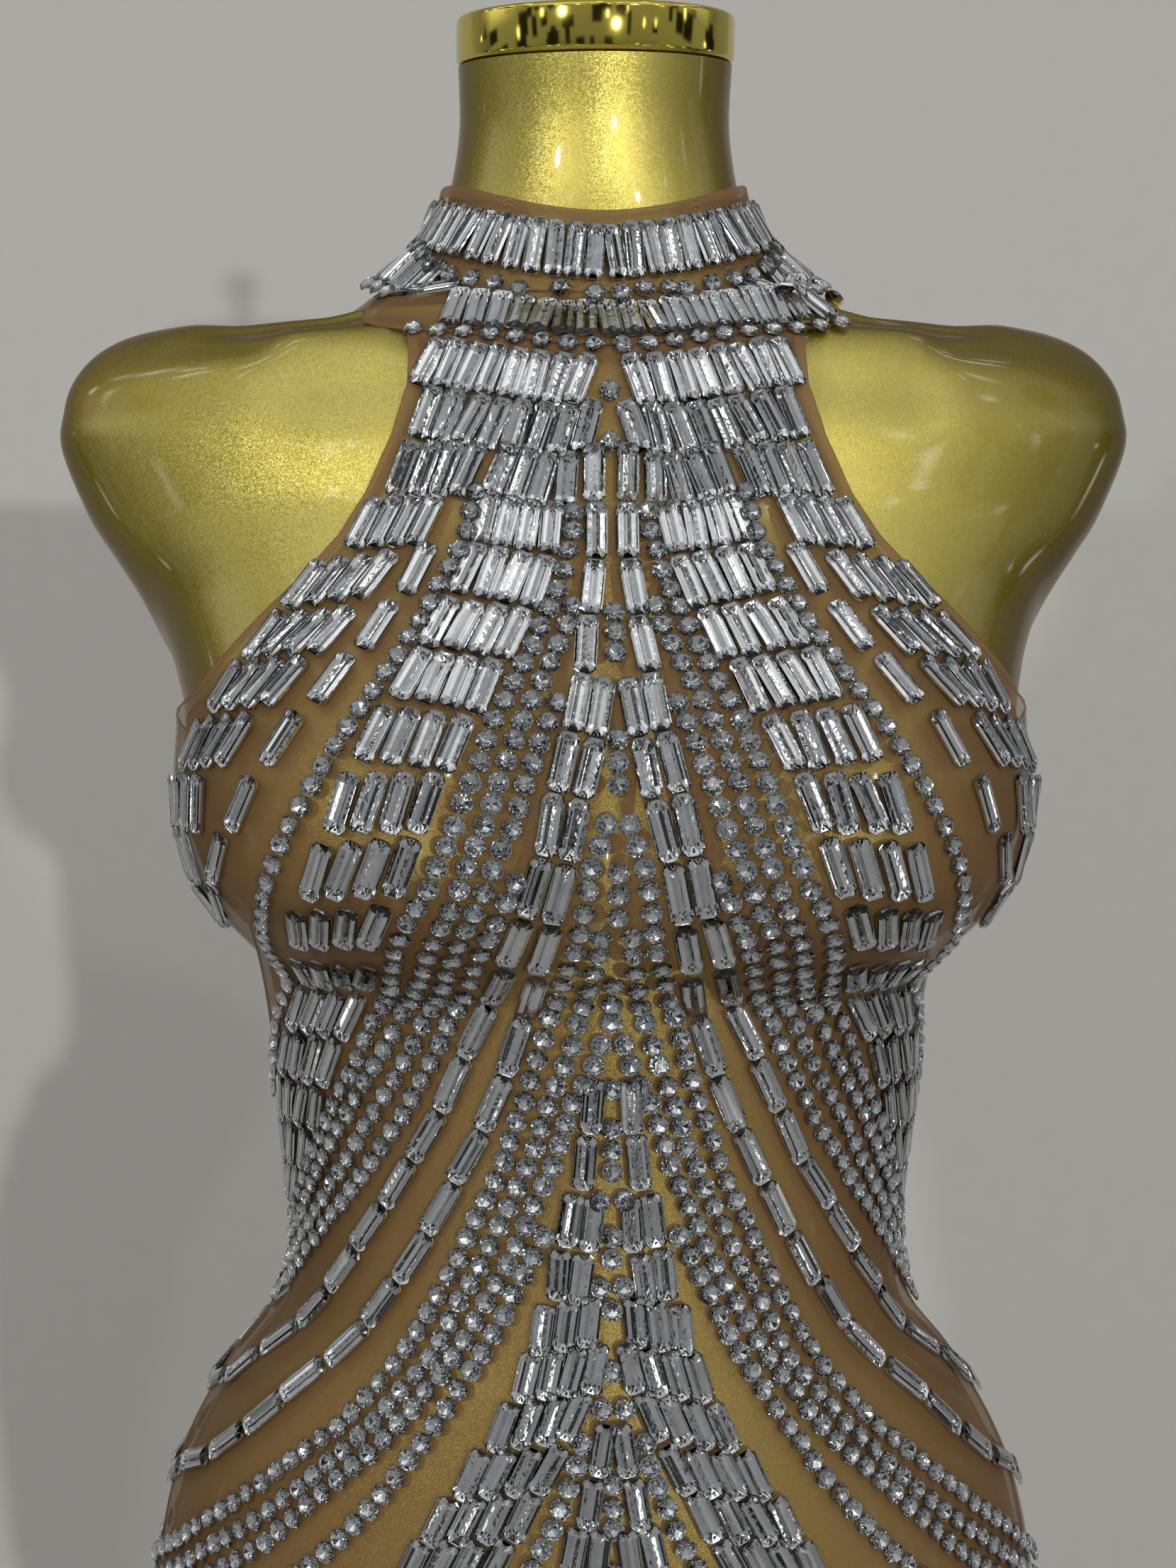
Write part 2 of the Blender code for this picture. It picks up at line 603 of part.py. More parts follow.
def build_panel(name, outline, parts):
    """One cut piece of the dress: a wall over the form, joined round its edge."""
    flat_outline = split_edges([flat_place(*place) for place in outline])
    blocks = stone_blocks(flat_outline, name == "dress_back")
    outer = filled(flat_outline, panel_spots(flat_outline, blocks), blocks, CLOTH_GAP + CLOTH)
    inner = filled(flat_outline, panel_spots(flat_outline, []), [], CLOTH_GAP)
    outer_points, outer_faces, outer_rim = outer
    inner_points, inner_faces, inner_rim = inner
    first_inner = len(outer_points)
    faces = list(outer_faces)
    faces += [tuple(first_inner + index for index in reversed(face)) for face in inner_faces]
    for index in range(len(flat_outline)):
        after = (index + 1) % len(flat_outline)
        faces.append((outer_rim[after], outer_rim[index],
                      first_inner + inner_rim[index], first_inner + inner_rim[after]))
    add_object(name, mesh_of(name, outer_points + inner_points, faces, 30), "stoned_mesh", parts)


def spaced(start, end, count):
    """Places from one value up to, but not including, another."""
    return [start + (end - start) * index / count for index in range(count)]


def front_outline():
    """The front's edge, anticlockwise on the flat pattern from the left end of the hem."""
    edge = SIDE_ANGLE - SEAM_ANGLE
    armhole = [(angle_at(distance, step_at(height)), step_at(height))
               for distance, height in reversed(ARMHOLE[1:])]
    # The top runs along the collar's lower edge, a seam's gap below it
    top_angle = angle_at(ARMHOLE[0][0], step_at(ARMHOLE[0][1]))
    angles = [COLLAR_COLUMN * column for column in range(int(top_angle / COLLAR_COLUMN) + 1)]
    half = [(top_angle, collar_chord(top_angle) - SEAM)]
    half += [(angle, collar_chord(angle) - SEAM) for angle in reversed(angles)]
    half = [(angle, step_at_length(length)) for angle, length in half]
    collar = half + [(-angle, step) for angle, step in reversed(half[:-1])]
    right = [(edge, step_at(HEM)), (edge, step_at(UNDERARM))] + armhole
    left = [(-angle, step) for angle, step in reversed(right)]
    return right + collar + left


def back_outline():
    """The back's edge, anticlockwise on the flat pattern from the right side seam's hem."""
    start, end = SIDE_ANGLE + SEAM_ANGLE, 360.0 - SIDE_ANGLE - SEAM_ANGLE
    scoop = [(angle, step_at(height)) for angle, height in BACK_EDGE[1:]]
    other = [(360.0 - angle, step) for angle, step in scoop[:-1]]
    return ([(start, step_at(HEM)), (end, step_at(HEM)), (end, step_at(UNDERARM))]
            + other + list(reversed(scoop)) + [(start, step_at(UNDERARM))])


def collar_section(angle):
    """Places up the collar's outer side and share of a stone at each, and up its inner side."""
    half = STONE_LENGTH / 2
    edge = half + STONE_EDGE
    outer = [(length_at(collar_foot(angle)), 0)]
    for row in (COLLAR_LOW_ROW, COLLAR_HIGH_ROW):
        middle = collar_row(angle, row)
        for distance, stone in ((-edge, 0), (-half, 1), (0.0, 1), (half, 1), (edge, 0)):
            place = length_at(up_surface(angle, middle, distance))
            outer.append((max(place, outer[-1][0] + COLLAR_LEAST), stone))
    outer.append((max(length_at(collar_top(angle)), outer[-1][0] + COLLAR_LEAST), 0))
    inner = [outer[index][0] for index in COLLAR_PLAIN]
    return outer, inner


def build_collar(parts):
    """The halter's collar: a band round the neck whose ends lie over each other at the nape."""
    start, end = -180.0 - COLLAR_OVERLAP / 2, 180.0 + COLLAR_OVERLAP / 2
    count = round((end - start) / COLLAR_COLUMN)
    covered = COLLAR_COVERED * COLLAR_OVERLAP
    points = []
    for column in range(count + 1):
        angle = start + (end - start) * column / count
        outer, inner = collar_section(angle)
        over = eased((angle - (end - covered)) / COLLAR_OVERLAP)
        base = CLOTH_GAP + over * (CLOTH + STONE + FIT)
        bare = column in (0, count) or angle < start + covered
        for length, stone in outer:
            lift = base + CLOTH + STONE * stone * (not bare)
            points.append(lifted_point(angle, step_at_length(length), lift))
        points += [lifted_point(angle, step_at_length(length), base) for length in inner]
    outer_rows, size = len(outer), len(outer) + len(inner)
    faces = []
    for column in range(count):
        here, there = column * size, (column + 1) * size
        for row in range(outer_rows - 1):
            faces.append((here + row, there + row, there + row + 1, here + row + 1))
        for row in range(outer_rows, size - 1):
            faces.append((here + row + 1, there + row + 1, there + row, here + row))
        faces.append((here + outer_rows, there + outer_rows, there, here))
        faces.append((here + outer_rows - 1, there + outer_rows - 1, there + size - 1,
                      here + size - 1))
    around = list(range(outer_rows)) + list(range(size - 1, outer_rows - 1, -1))
    faces.append(tuple(around))
    faces.append(tuple(count * size + index for index in reversed(around)))
    add_object("collar", mesh_of("collar", points, faces, 30), "stoned_mesh", parts)


def build_round(name, radius, low, high, edge, finish_name, parts):
    """Upright round piece with softened edges."""
    bpy.ops.mesh.primitive_cylinder_add(vertices=ROUND_SIDES, radius=radius, depth=high - low,
                                        location=(0, 0, (low + high) / 2))
    thing = bpy.context.object
    thing.name = thing.data.name = name
    thing.data.materials.append(finish(finish_name))
    thing.data.shade_smooth()
    thing.data.set_sharp_from_angle(angle=math.radians(40))
    for home in list(thing.users_collection):
        home.objects.unlink(thing)
    parts.objects.link(thing)
    if edge > 0:
        bevel = thing.modifiers.new("edge", "BEVEL")
        bevel.width = edge
        bevel.segments = 2
        bevel.limit_method = "ANGLE"
        bevel.angle_limit = math.radians(50)
    return thing


def build_cap(parts):
    """The polished cap on the neck and the knob on it, square to the neck's top."""
    top = BODY[-1]
    lean = math.radians(top.lean)
    up = Vector((0, -math.sin(lean), math.cos(lean)))
    seat = Vector((0, top.middle, BUST_HEIGHT + top.height)) + up * FIT
    cap = build_round("neck_cap", CAP_RADIUS, 0.0, CAP_HEIGHT, 0.0020, "gold_chrome", parts)
    cap.location = seat + up * (CAP_HEIGHT / 2)
    cap.rotation_euler = (lean, 0, 0)
    points = [(radius, 0.0, height) for radius, height in KNOB]
    mesh = bpy.data.meshes.new("knob")
    mesh.from_pydata(points, [(index, index + 1) for index in range(len(points) - 1)], [])
    knob = add_object("knob", mesh, "gold_chrome", parts)
    turning = knob.modifiers.new("turning", "SCREW")
    turning.steps = turning.render_steps = KNOB_STEPS
    turning.use_merge_vertices = True
    turning.merge_threshold = 0.00005
    turning.use_smooth_shade = True
    knob.location = seat + up * (CAP_HEIGHT + FIT)
    knob.rotation_euler = (lean, 0, 0)


def build_stand(parts):
    """Socket under the form, pole, foot and round base."""
    underside = BUST_HEIGHT + BODY[0].height
    socket_low = underside - FIT - SOCKET_HEIGHT
    build_round("socket", SOCKET_RADIUS, socket_low, underside - FIT, 0.003, "gold_chrome", parts)
    foot_low = BASE_HEIGHT + FIT
    build_round("foot", FOOT_RADIUS, foot_low, foot_low + FOOT_HEIGHT, 0.004, "gold_chrome", parts)
    build_round("pole", POLE_RADIUS, foot_low + FOOT_HEIGHT + FIT, socket_low - FIT, 0.0,
                "gold_chrome", parts)
    build_round("base", BASE_RADIUS, 0.0, BASE_HEIGHT, 0.003, "gold_chrome", parts)


def main():
    """Clear the scene and build every piece."""
    for thing in list(bpy.data.objects):
        bpy.data.objects.remove(thing)
    parts = bpy.data.collections.new("mini_dress_on_dress_form")
    bpy.context.scene.collection.children.link(parts)
    build_form(parts)
    build_panel("dress_front", front_outline(), parts)
    build_panel("dress_back", back_outline(), parts)
    build_collar(parts)
    build_cap(parts)
    build_stand(parts)


main()
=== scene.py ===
"""Looks of the mini dress and the dress form that it hangs on.

Lengths are in metres, +Z is up, the front faces -Y and the floor is at z = 0. Every piece rides
on the body root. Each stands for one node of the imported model, apart from the stones.
"""
import logging
import math
import random
from bisect import bisect_right
from collections.abc import Callable
from dataclasses import dataclass
from enum import Enum
from itertools import accumulate
from typing import ClassVar, NamedTuple

import bpy
from mathutils import Matrix, Vector


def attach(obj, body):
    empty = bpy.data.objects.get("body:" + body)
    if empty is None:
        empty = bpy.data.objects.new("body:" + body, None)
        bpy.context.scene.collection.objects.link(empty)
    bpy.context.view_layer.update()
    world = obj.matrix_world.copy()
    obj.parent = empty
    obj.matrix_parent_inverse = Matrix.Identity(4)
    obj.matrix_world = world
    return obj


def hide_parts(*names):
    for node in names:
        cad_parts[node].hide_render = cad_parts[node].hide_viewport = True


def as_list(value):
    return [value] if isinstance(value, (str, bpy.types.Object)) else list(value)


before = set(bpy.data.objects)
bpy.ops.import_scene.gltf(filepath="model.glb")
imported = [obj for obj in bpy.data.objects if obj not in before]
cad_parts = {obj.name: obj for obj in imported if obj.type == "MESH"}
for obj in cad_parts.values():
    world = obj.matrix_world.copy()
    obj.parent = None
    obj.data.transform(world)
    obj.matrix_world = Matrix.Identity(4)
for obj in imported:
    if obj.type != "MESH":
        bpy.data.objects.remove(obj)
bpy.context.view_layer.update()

Thing, Socket, Sockets = bpy.types.Object, bpy.types.NodeSocket, bpy.types.bpy_prop_collection

log = logging.getLogger("mini_dress")

# The form's rings, from its flat underside to the top of the neck: height over the bust line,
# half the width, depth to the front and depth to the back, then, where they aren't 0, the share
# of its depth that it loses towards the sides, the degrees that it leans forward and how far
# back its middle lies
RINGS = ((-0.575, 0.146, 0.084, 0.094), (-0.5, 0.156, 0.09, 0.104), (-0.42, 0.165, 0.095, 0.116),
         (-0.345, 0.166, 0.098, 0.122), (-0.29, 0.16, 0.098, 0.118), (-0.25, 0.151, 0.096, 0.107),
         (-0.215, 0.1325, 0.093, 0.093), (-0.19, 0.1145, 0.0905, 0.081),
         (-0.155, 0.11, 0.0875, 0.071), (-0.115, 0.115, 0.087, 0.073),
         (-0.065, 0.1225, 0.09, 0.08), (-0.01, 0.14, 0.089, 0.088), (0.022, 0.146, 0.0885, 0.091),
         (0.04, 0.154, 0.0875, 0.092), (0.055, 0.162, 0.0865, 0.093), (0.07, 0.17, 0.0855, 0.093),
         (0.0846, 0.1795, 0.084, 0.093), (0.1002, 0.1895, 0.082, 0.092, 0.12),
         (0.1257, 0.2, 0.0785, 0.088, 0.25), (0.14, 0.1993, 0.0755, 0.085, 0.4),
         (0.15, 0.1965, 0.0715, 0.082, 0.55), (0.159, 0.19, 0.0625, 0.0785, 0.68),
         (0.1655, 0.181, 0.0572, 0.0755, 0.75), (0.1698, 0.169, 0.0556, 0.073, 0.75),
         (0.1706, 0.156, 0.0552, 0.071, 0.76), (0.1711, 0.135, 0.0549, 0.0695, 0.74),
         (0.1724, 0.113, 0.0546, 0.0675, 0.62), (0.177, 0.0945, 0.0542, 0.065, 0.45),
         (0.1836, 0.082, 0.0538, 0.062, 0.28), (0.191, 0.072, 0.0532, 0.0595, 0.12),
         (0.201, 0.0615, 0.0523, 0.057, 0.0, 1.0), (0.218, 0.055, 0.0512, 0.054, 0.0, 3.0, -0.001),
         (0.243, 0.0505, 0.05, 0.051, 0.0, 8.0, -0.005),
         (0.267, 0.0508, 0.0508, 0.0508, 0.0, 12.0, -0.01))

# The front's armhole edge, from the collar to the side seam: distance from the centre line
# and height over the bust line
ARMHOLE = ((0.0688, 0.1565), (0.068, 0.148), (0.0685, 0.137), (0.071, 0.129), (0.074, 0.119),
           (0.079, 0.108), (0.083, 0.0985), (0.0915, 0.084), (0.1035, 0.07), (0.117, 0.0567),
           (0.128, 0.045), (0.1405, 0.031))
# The open back's edge, from the underarm to the middle: degrees round and height
BACK_EDGE = ((90, 0.017), (105, -0.008), (120, -0.037), (135, -0.063), (150, -0.083),
             (165, -0.095), (180, -0.099))
# Middles of the collar's two rows of stones, round to the nape: degrees and height
COLLAR_LOW_ROW = ((0, 0.158), (5, 0.1587), (9, 0.1607), (12, 0.1622), (17, 0.1643), (20, 0.1657),
                  (24, 0.1677), (28, 0.1705), (35, 0.1747), (57, 0.1855), (90, 0.1935),
                  (130, 0.1925), (180, 0.19))
COLLAR_HIGH_ROW = ((0, 0.186), (13, 0.188), (22, 0.19), (36, 0.1938), (53, 0.199), (90, 0.2085),
                   (180, 0.2095))
# Middles of the round stones between those rows: degrees and height
COLLAR_ROUNDS = ((0, 0.1693), (6.1, 0.1708), (12.7, 0.1714), (22.5, 0.1756), (32.9, 0.1789),
                 (45, 0.1839), (60, 0.192), (90, 0.2), (130, 0.2), (180, 0.1992))

# Baguettes of the top rows, each on its own: degrees round, height and degrees that its top leans
# towards the middle, on one half of the dress
CHEST_STONES = ((17.8, 0.1435, 22), (15.7, 0.143, 22), (13.6, 0.1412, 24), (11.5, 0.1405, 17),
                (9.3, 0.139, 15), (7.2, 0.1378, 15), (5.0, 0.1369, 15), (2.8, 0.1367, 19),
                (20.2, 0.1262, 15), (18.0, 0.1262, 18), (15.8, 0.1249, 23), (13.5, 0.1236, 26),
                (11.3, 0.1219, 23), (9.1, 0.1208, 18), (6.9, 0.1198, 16), (4.6, 0.1196, 14),
                (2.3, 0.1206, 15), (11.0, 0.1059, 22), (8.9, 0.104, 19), (6.8, 0.1022, 17),
                (4.5, 0.1024, 3), (13.3, 0.0886, 12), (11.1, 0.0868, 11), (8.8, 0.0855, 8),
                (6.4, 0.085, 8))

# Rows of baguettes side by side, from the top down: degrees round and height of the row's first
# stone and of its last, the number of stones, and the degrees that their tops lean towards the
# middle, on one half of the dress
ARMHOLE_ROWS = ((14.4, 0.1061, 23.3, 0.1072, 5, 21), (20.0, 0.0878, 29.0, 0.0866, 5, 20),
                (26.9, 0.0684, 35.8, 0.0655, 4, 30), (32.8, 0.0493, 41.8, 0.0484, 4, 36),
                (39.3, 0.0328, 48.6, 0.0322, 4, 35), (46.5, 0.0138, 56.0, 0.0126, 4, 33),
                (53.7, -0.0066, 64.0, -0.006, 4, 10), (60.0, -0.024, 70.0, -0.023, 4, -5),
                (65.0, -0.04, 73.0, -0.039, 3, -10))
# The same without the lean, which follows the row's way down the dress
BUST_ROWS = ((8.4, 0.0657, 16.0, 0.0703, 4), (11.7, 0.0479, 19.9, 0.0515, 4),
             (15.5, 0.0303, 23.7, 0.0341, 4), (19.1, 0.012, 27.9, 0.015, 4),
             (22.3, -0.0066, 31.4, -0.0066, 4), (25.5, -0.0265, 35.5, -0.0278, 4),
             (30.5, -0.044, 41.7, -0.0456, 4), (37.5, -0.062, 51.0, -0.062, 4),
             (46.0, -0.08, 61.0, -0.079, 4), (53.0, -0.0975, 69.0, -0.0965, 4),
             (59.0, -0.115, 75.0, -0.1135, 4), (66.0, -0.131, 79.0, -0.1295, 3),
             (73.0, -0.146, 84.0, -0.145, 3))
MIDDLE_ROWS = ((3.1, -0.1079, 3.1, -0.1079, 1), (4.4, -0.127, 4.4, -0.127, 1),
               (3.4, -0.148, 7.0, -0.1465, 2), (5.3, -0.1665, 9.0, -0.165, 2),
               (3.9, -0.1805, 11.6, -0.1835, 3), (2.9, -0.1955, 13.4, -0.1995, 4),
               (5.6, -0.211, 15.6, -0.216, 4), (8.6, -0.2285, 18.9, -0.232, 4),
               (11.5, -0.244, 22.2, -0.2475, 4), (14.6, -0.26, 25.2, -0.2625, 4))
INNER_ROWS = ((1.5, -0.222, 1.5, -0.222, 1), (3.0, -0.2395, 3.0, -0.2395, 1),
              (1.9, -0.256, 4.9, -0.255, 2), (3.6, -0.2725, 6.8, -0.2715, 2))

# Single lines of baguettes, from the top down: degrees round and height
GAPPED_LINE = ((21.8, 0.0704), (27.2, 0.0506), (33.0, 0.033), (39.2, 0.0138), (44.8, -0.0066),
               (51.2, -0.024), (57.0, -0.039))
UPPER_LINE = ((1.7, 0.1046), (1.6, 0.0863), (2.1, 0.068), (3.1, 0.0495), (4.1, 0.0316),
              (6.0, 0.0128), (7.8, -0.0065), (9.6, -0.0262), (12.2, -0.0432), (16.8, -0.0622),
              (22.3, -0.0857), (27.1, -0.1041), (32.2, -0.1207), (37.8, -0.1351), (44.4, -0.149),
              (50.0, -0.163), (55.2, -0.1745), (60.5, -0.1866), (66.0, -0.199), (71.0, -0.21),
              (77.1, -0.218), (86.0, -0.225))
LOWER_LINE = ((2.0, 0.0238), (3.5, 0.0044), (5.5, -0.0154), (7.7, -0.0356), (10.4, -0.0553),
              (13.7, -0.0767), (17.0, -0.0975), (21.0, -0.1146), (25.8, -0.1313), (30.7, -0.1463),
              (35.6, -0.1616), (41.2, -0.1755), (46.0, -0.19), (50.5, -0.204), (55.9, -0.219),
              (61.6, -0.232), (67.8, -0.2419), (74.8, -0.2487), (86.1, -0.2587))

# Lines of touching rounds on one half of the dress, from the top down: degrees and height
ROUND_LINES = (
    ((13.9, 0.0979), (15.5, 0.0837), (16.7, 0.0771), (19.5, 0.0646), (21.8, 0.053), (24.7, 0.0417),
     (27.6, 0.0304), (30.5, 0.0191), (33.2, 0.0067), (36.1, -0.0067), (39.4, -0.019),
     (42.5, -0.0304), (46.5, -0.042), (53.5, -0.0545), (62.0, -0.068), (70.5, -0.083),
     (77.5, -0.099), (83.0, -0.113)),
    ((3.9, 0.0906), (4.1, 0.0838), (4.9, 0.0758), (5.7, 0.0663), (7.9, 0.0542), (9.9, 0.0422),
     (12.4, 0.0302), (14.7, 0.0189), (16.3, 0.0061), (18.3, -0.0066), (20.3, -0.0201),
     (23.2, -0.034), (31.6, -0.0585), (38.0, -0.0736), (42.2, -0.0847), (46.3, -0.0976),
     (51.6, -0.11), (57.5, -0.1225), (64.0, -0.135), (71.5, -0.149), (80.0, -0.162)),
    ((4.7, 0.0575), (5.5, 0.0512), (7.4, 0.0397), (9.7, 0.0283), (12.0, 0.0158), (13.7, 0.0031),
     (15.5, -0.0104), (17.8, -0.0237), (20.2, -0.037), (27.0, -0.0585), (32.6, -0.0713),
     (36.4, -0.083), (40.6, -0.0947), (46.0, -0.1078), (51.0, -0.1185), (56.8, -0.1302),
     (63.8, -0.142), (70.0, -0.155), (78.5, -0.166)),
    ((7.3, 0.0252), (9.3, 0.0128), (11.1, -0.0006), (12.7, -0.0134), (15.2, -0.0263),
     (17.2, -0.0371), (24.0, -0.06), (29.0, -0.0745), (32.7, -0.087), (36.4, -0.0985),
     (41.2, -0.1105), (46.2, -0.1215), (51.2, -0.132), (58.2, -0.144), (66.0, -0.158),
     (74.0, -0.17), (81.0, -0.179)),
    ((12.7, -0.0312), (15.4, -0.0423), (21.4, -0.064), (26.2, -0.08), (29.3, -0.0921),
     (32.9, -0.1035), (36.6, -0.1145), (41.6, -0.1249), (46.4, -0.1347), (53.1, -0.1465),
     (61.8, -0.16), (70.3, -0.173), (77.1, -0.183), (84.0, -0.191)),
    ((1.5, -0.0134), (2.4, -0.0209), (3.5, -0.0276), (4.4, -0.0398), (5.6, -0.0522), (8.0, -0.066),
     (10.2, -0.0814), (12.1, -0.0938), (14.1, -0.1063), (16.5, -0.1181), (18.5, -0.1299),
     (21.7, -0.141), (24.7, -0.1508), (26.9, -0.1612), (29.7, -0.1714), (32.6, -0.1816),
     (35.4, -0.1946), (36.8, -0.2043), (38.6, -0.2117), (41.0, -0.2212), (44.5, -0.2288),
     (48.5, -0.2377), (52.3, -0.2457), (56.6, -0.2539), (61.6, -0.2612), (70.0, -0.273),
     (80.0, -0.283), (86.5, -0.288)),
    ((2.1, -0.048), (3.2, -0.0614), (4.6, -0.074), (6.0, -0.0852), (7.9, -0.0963), (10.4, -0.1088),
     (12.6, -0.122), (15.1, -0.133), (18.0, -0.1443), (20.9, -0.1551), (23.3, -0.1658),
     (26.4, -0.1753), (28.6, -0.1858), (30.9, -0.199), (32.8, -0.2069), (34.9, -0.2166),
     (38.0, -0.2259), (41.3, -0.2349), (44.8, -0.2444), (48.6, -0.2524), (52.8, -0.2597),
     (57.7, -0.2669), (65.3, -0.2779), (75.0, -0.289), (86.0, -0.298)),
    ((1.8, -0.0871), (3.2, -0.0955), (6.3, -0.1067), (8.3, -0.1192), (10.3, -0.1313),
     (13.2, -0.1422), (15.8, -0.1539), (18.5, -0.1649), (21.6, -0.1751), (24.1, -0.1849),
     (26.2, -0.1949), (28.2, -0.2043), (30.4, -0.2145), (33.2, -0.2246), (37.0, -0.2348),
     (40.8, -0.2448), (44.6, -0.2544), (49.2, -0.2652), (55.0, -0.274), (63.0, -0.285),
     (73.0, -0.296), (86.0, -0.307)),
    ((11.6, -0.1524), (14.6, -0.1636), (17.2, -0.1743), (19.5, -0.1847), (21.9, -0.1943),
     (23.6, -0.2045), (25.3, -0.2148), (27.6, -0.2253), (29.8, -0.2362), (32.4, -0.246),
     (35.3, -0.2554), (38.9, -0.265), (44.0, -0.276), (51.0, -0.287), (60.0, -0.298),
     (71.0, -0.309), (86.0, -0.32)),
    ((4.4, -0.2201), (4.8, -0.2258), (5.6, -0.2322), (6.4, -0.2383), (7.1, -0.2447), (8.2, -0.251),
     (9.6, -0.258), (14.5, -0.285), (24.0, -0.337), (53.0, -0.498)),
)
# Runs of touching rounds down the centre line: heights of the first and the last
CENTRE_RUNS = ((0.0554, 0.0357), (0.0137, -0.0073), (-0.0285, -0.0429), (-0.064, -0.0815),
               (-0.1155, -0.135), (-0.1521, -0.164), (-0.1764, -0.183), (-0.1968, -0.2033),
               (-0.2331, -0.248), (-0.262, -0.27))
# Single rounds: degrees round and height on one half, and heights on the centre line
LONE_ROUNDS = ((2.2, -0.14), (2.0, -0.169), (1.7, -0.2089))
CENTRE_ROUNDS = (0.133, 0.1153, -0.102)


class Finish(Enum):
    """The record's material slots."""

    GOLD_PAINT = "gold_paint"
    GOLD_CHROME = "gold_chrome"
    POWER_MESH = "power_mesh"
    CRYSTAL = "crystal"


class Ring(NamedTuple):
    """One level ring of the form, with the table's columns."""

    height: float
    half_width: float
    front: float
    back: float
    thin: float = 0.0
    lean: float = 0.0
    middle: float = 0.0


@dataclass(frozen=True)
class Spot:
    """A place on the dressed surface, and the frame that a stone sits in there."""

    point: Vector
    along: Vector
    normal: Vector
    stretch: float = 1.0
    width: float = 1.0


def eased(share: float) -> float:
    """Smooth start and smooth end between 0 and 1."""
    share = min(max(share, 0.0), 1.0)
    return share * share * (3 - 2 * share)


def between(table: tuple, value: float) -> float:
    """Value of a two-column table, straight from row to row."""
    for (start, low), (end, high) in zip(table, table[1:]):
        if value <= end:
            return low + (high - low) * (value - start) / (end - start)
    return table[-1][1]


def from_front(angle: float) -> float:
    """Degrees from the middle of the front, the shorter way round."""
    return abs((angle + 180.0) % 360.0 - 180.0)


def distances(points: list) -> list:
    """Distance along a line of points from its first to each."""
    steps = ((after - before).length for before, after in zip(points, points[1:]))
    return list(accumulate(steps, initial=0.0))


def grid_faces(rows: int, columns: int, closed: bool = False) -> list:
    """Faces between rows of points, each row a ring if it is closed."""
    wide = columns if closed else columns + 1
    return [(row * wide + column, row * wide + (column + 1) % wide,
             (row + 1) * wide + (column + 1) % wide, (row + 1) * wide + column)
            for row in range(rows) for column in range(columns)]


def new_piece(name: str, points: list, faces: list, looks: tuple = (),
              smooth: bool = True) -> Thing:
    """Object of listed points and faces, linked to the scene."""
    mesh = bpy.data.meshes.new(name)
    mesh.from_pydata(points, [], faces)
    mesh.validate()
    for look in looks:
        mesh.materials.append(look.material())
    if smooth:
        mesh.shade_smooth()
    return link(name, mesh)


def link(name: str, data: bpy.types.ID) -> Thing:
    """Object of some data, linked to the scene."""
    thing = bpy.data.objects.new(name, data)
    bpy.context.scene.collection.objects.link(thing)
    return thing


def add_values(thing: Thing, name: str, kind: str, domain: str, values: list) -> None:
    """Stores a value on each point or face of a piece."""
    layer = thing.data.attributes.new(name, kind, domain)
    key = "vector" if kind == "FLOAT_VECTOR" else "value"
    for item, value in zip(layer.data, values):
        setattr(item, key, value)


def add_map(thing: Thing, name: str, places: list) -> None:
    """Stores a UV map, with a place for each point."""
    layer = thing.data.uv_layers.new(name=name)
    for loop in thing.data.loops:
        layer.data[loop.index].uv = places[loop.vertex_index]


def apply_modifiers(thing: Thing) -> None:
    """Turns a piece's modifiers into plain mesh."""
    depsgraph = bpy.context.evaluated_depsgraph_get()
    mesh = bpy.data.meshes.new_from_object(thing.evaluated_get(depsgraph))
    old = thing.data
    thing.modifiers.clear()
    thing.data = mesh
    bpy.data.meshes.remove(old)
    mesh.name = thing.name


def place_piece(thing: Thing, finish: Finish, *nodes: str) -> None:
    """Rides a piece on the body, and hides the imported nodes that it stands for."""
    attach(thing, "root")
    if nodes:
        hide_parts(*nodes)
    log.info("%s: %d faces", thing.name, len(thing.data.polygons))


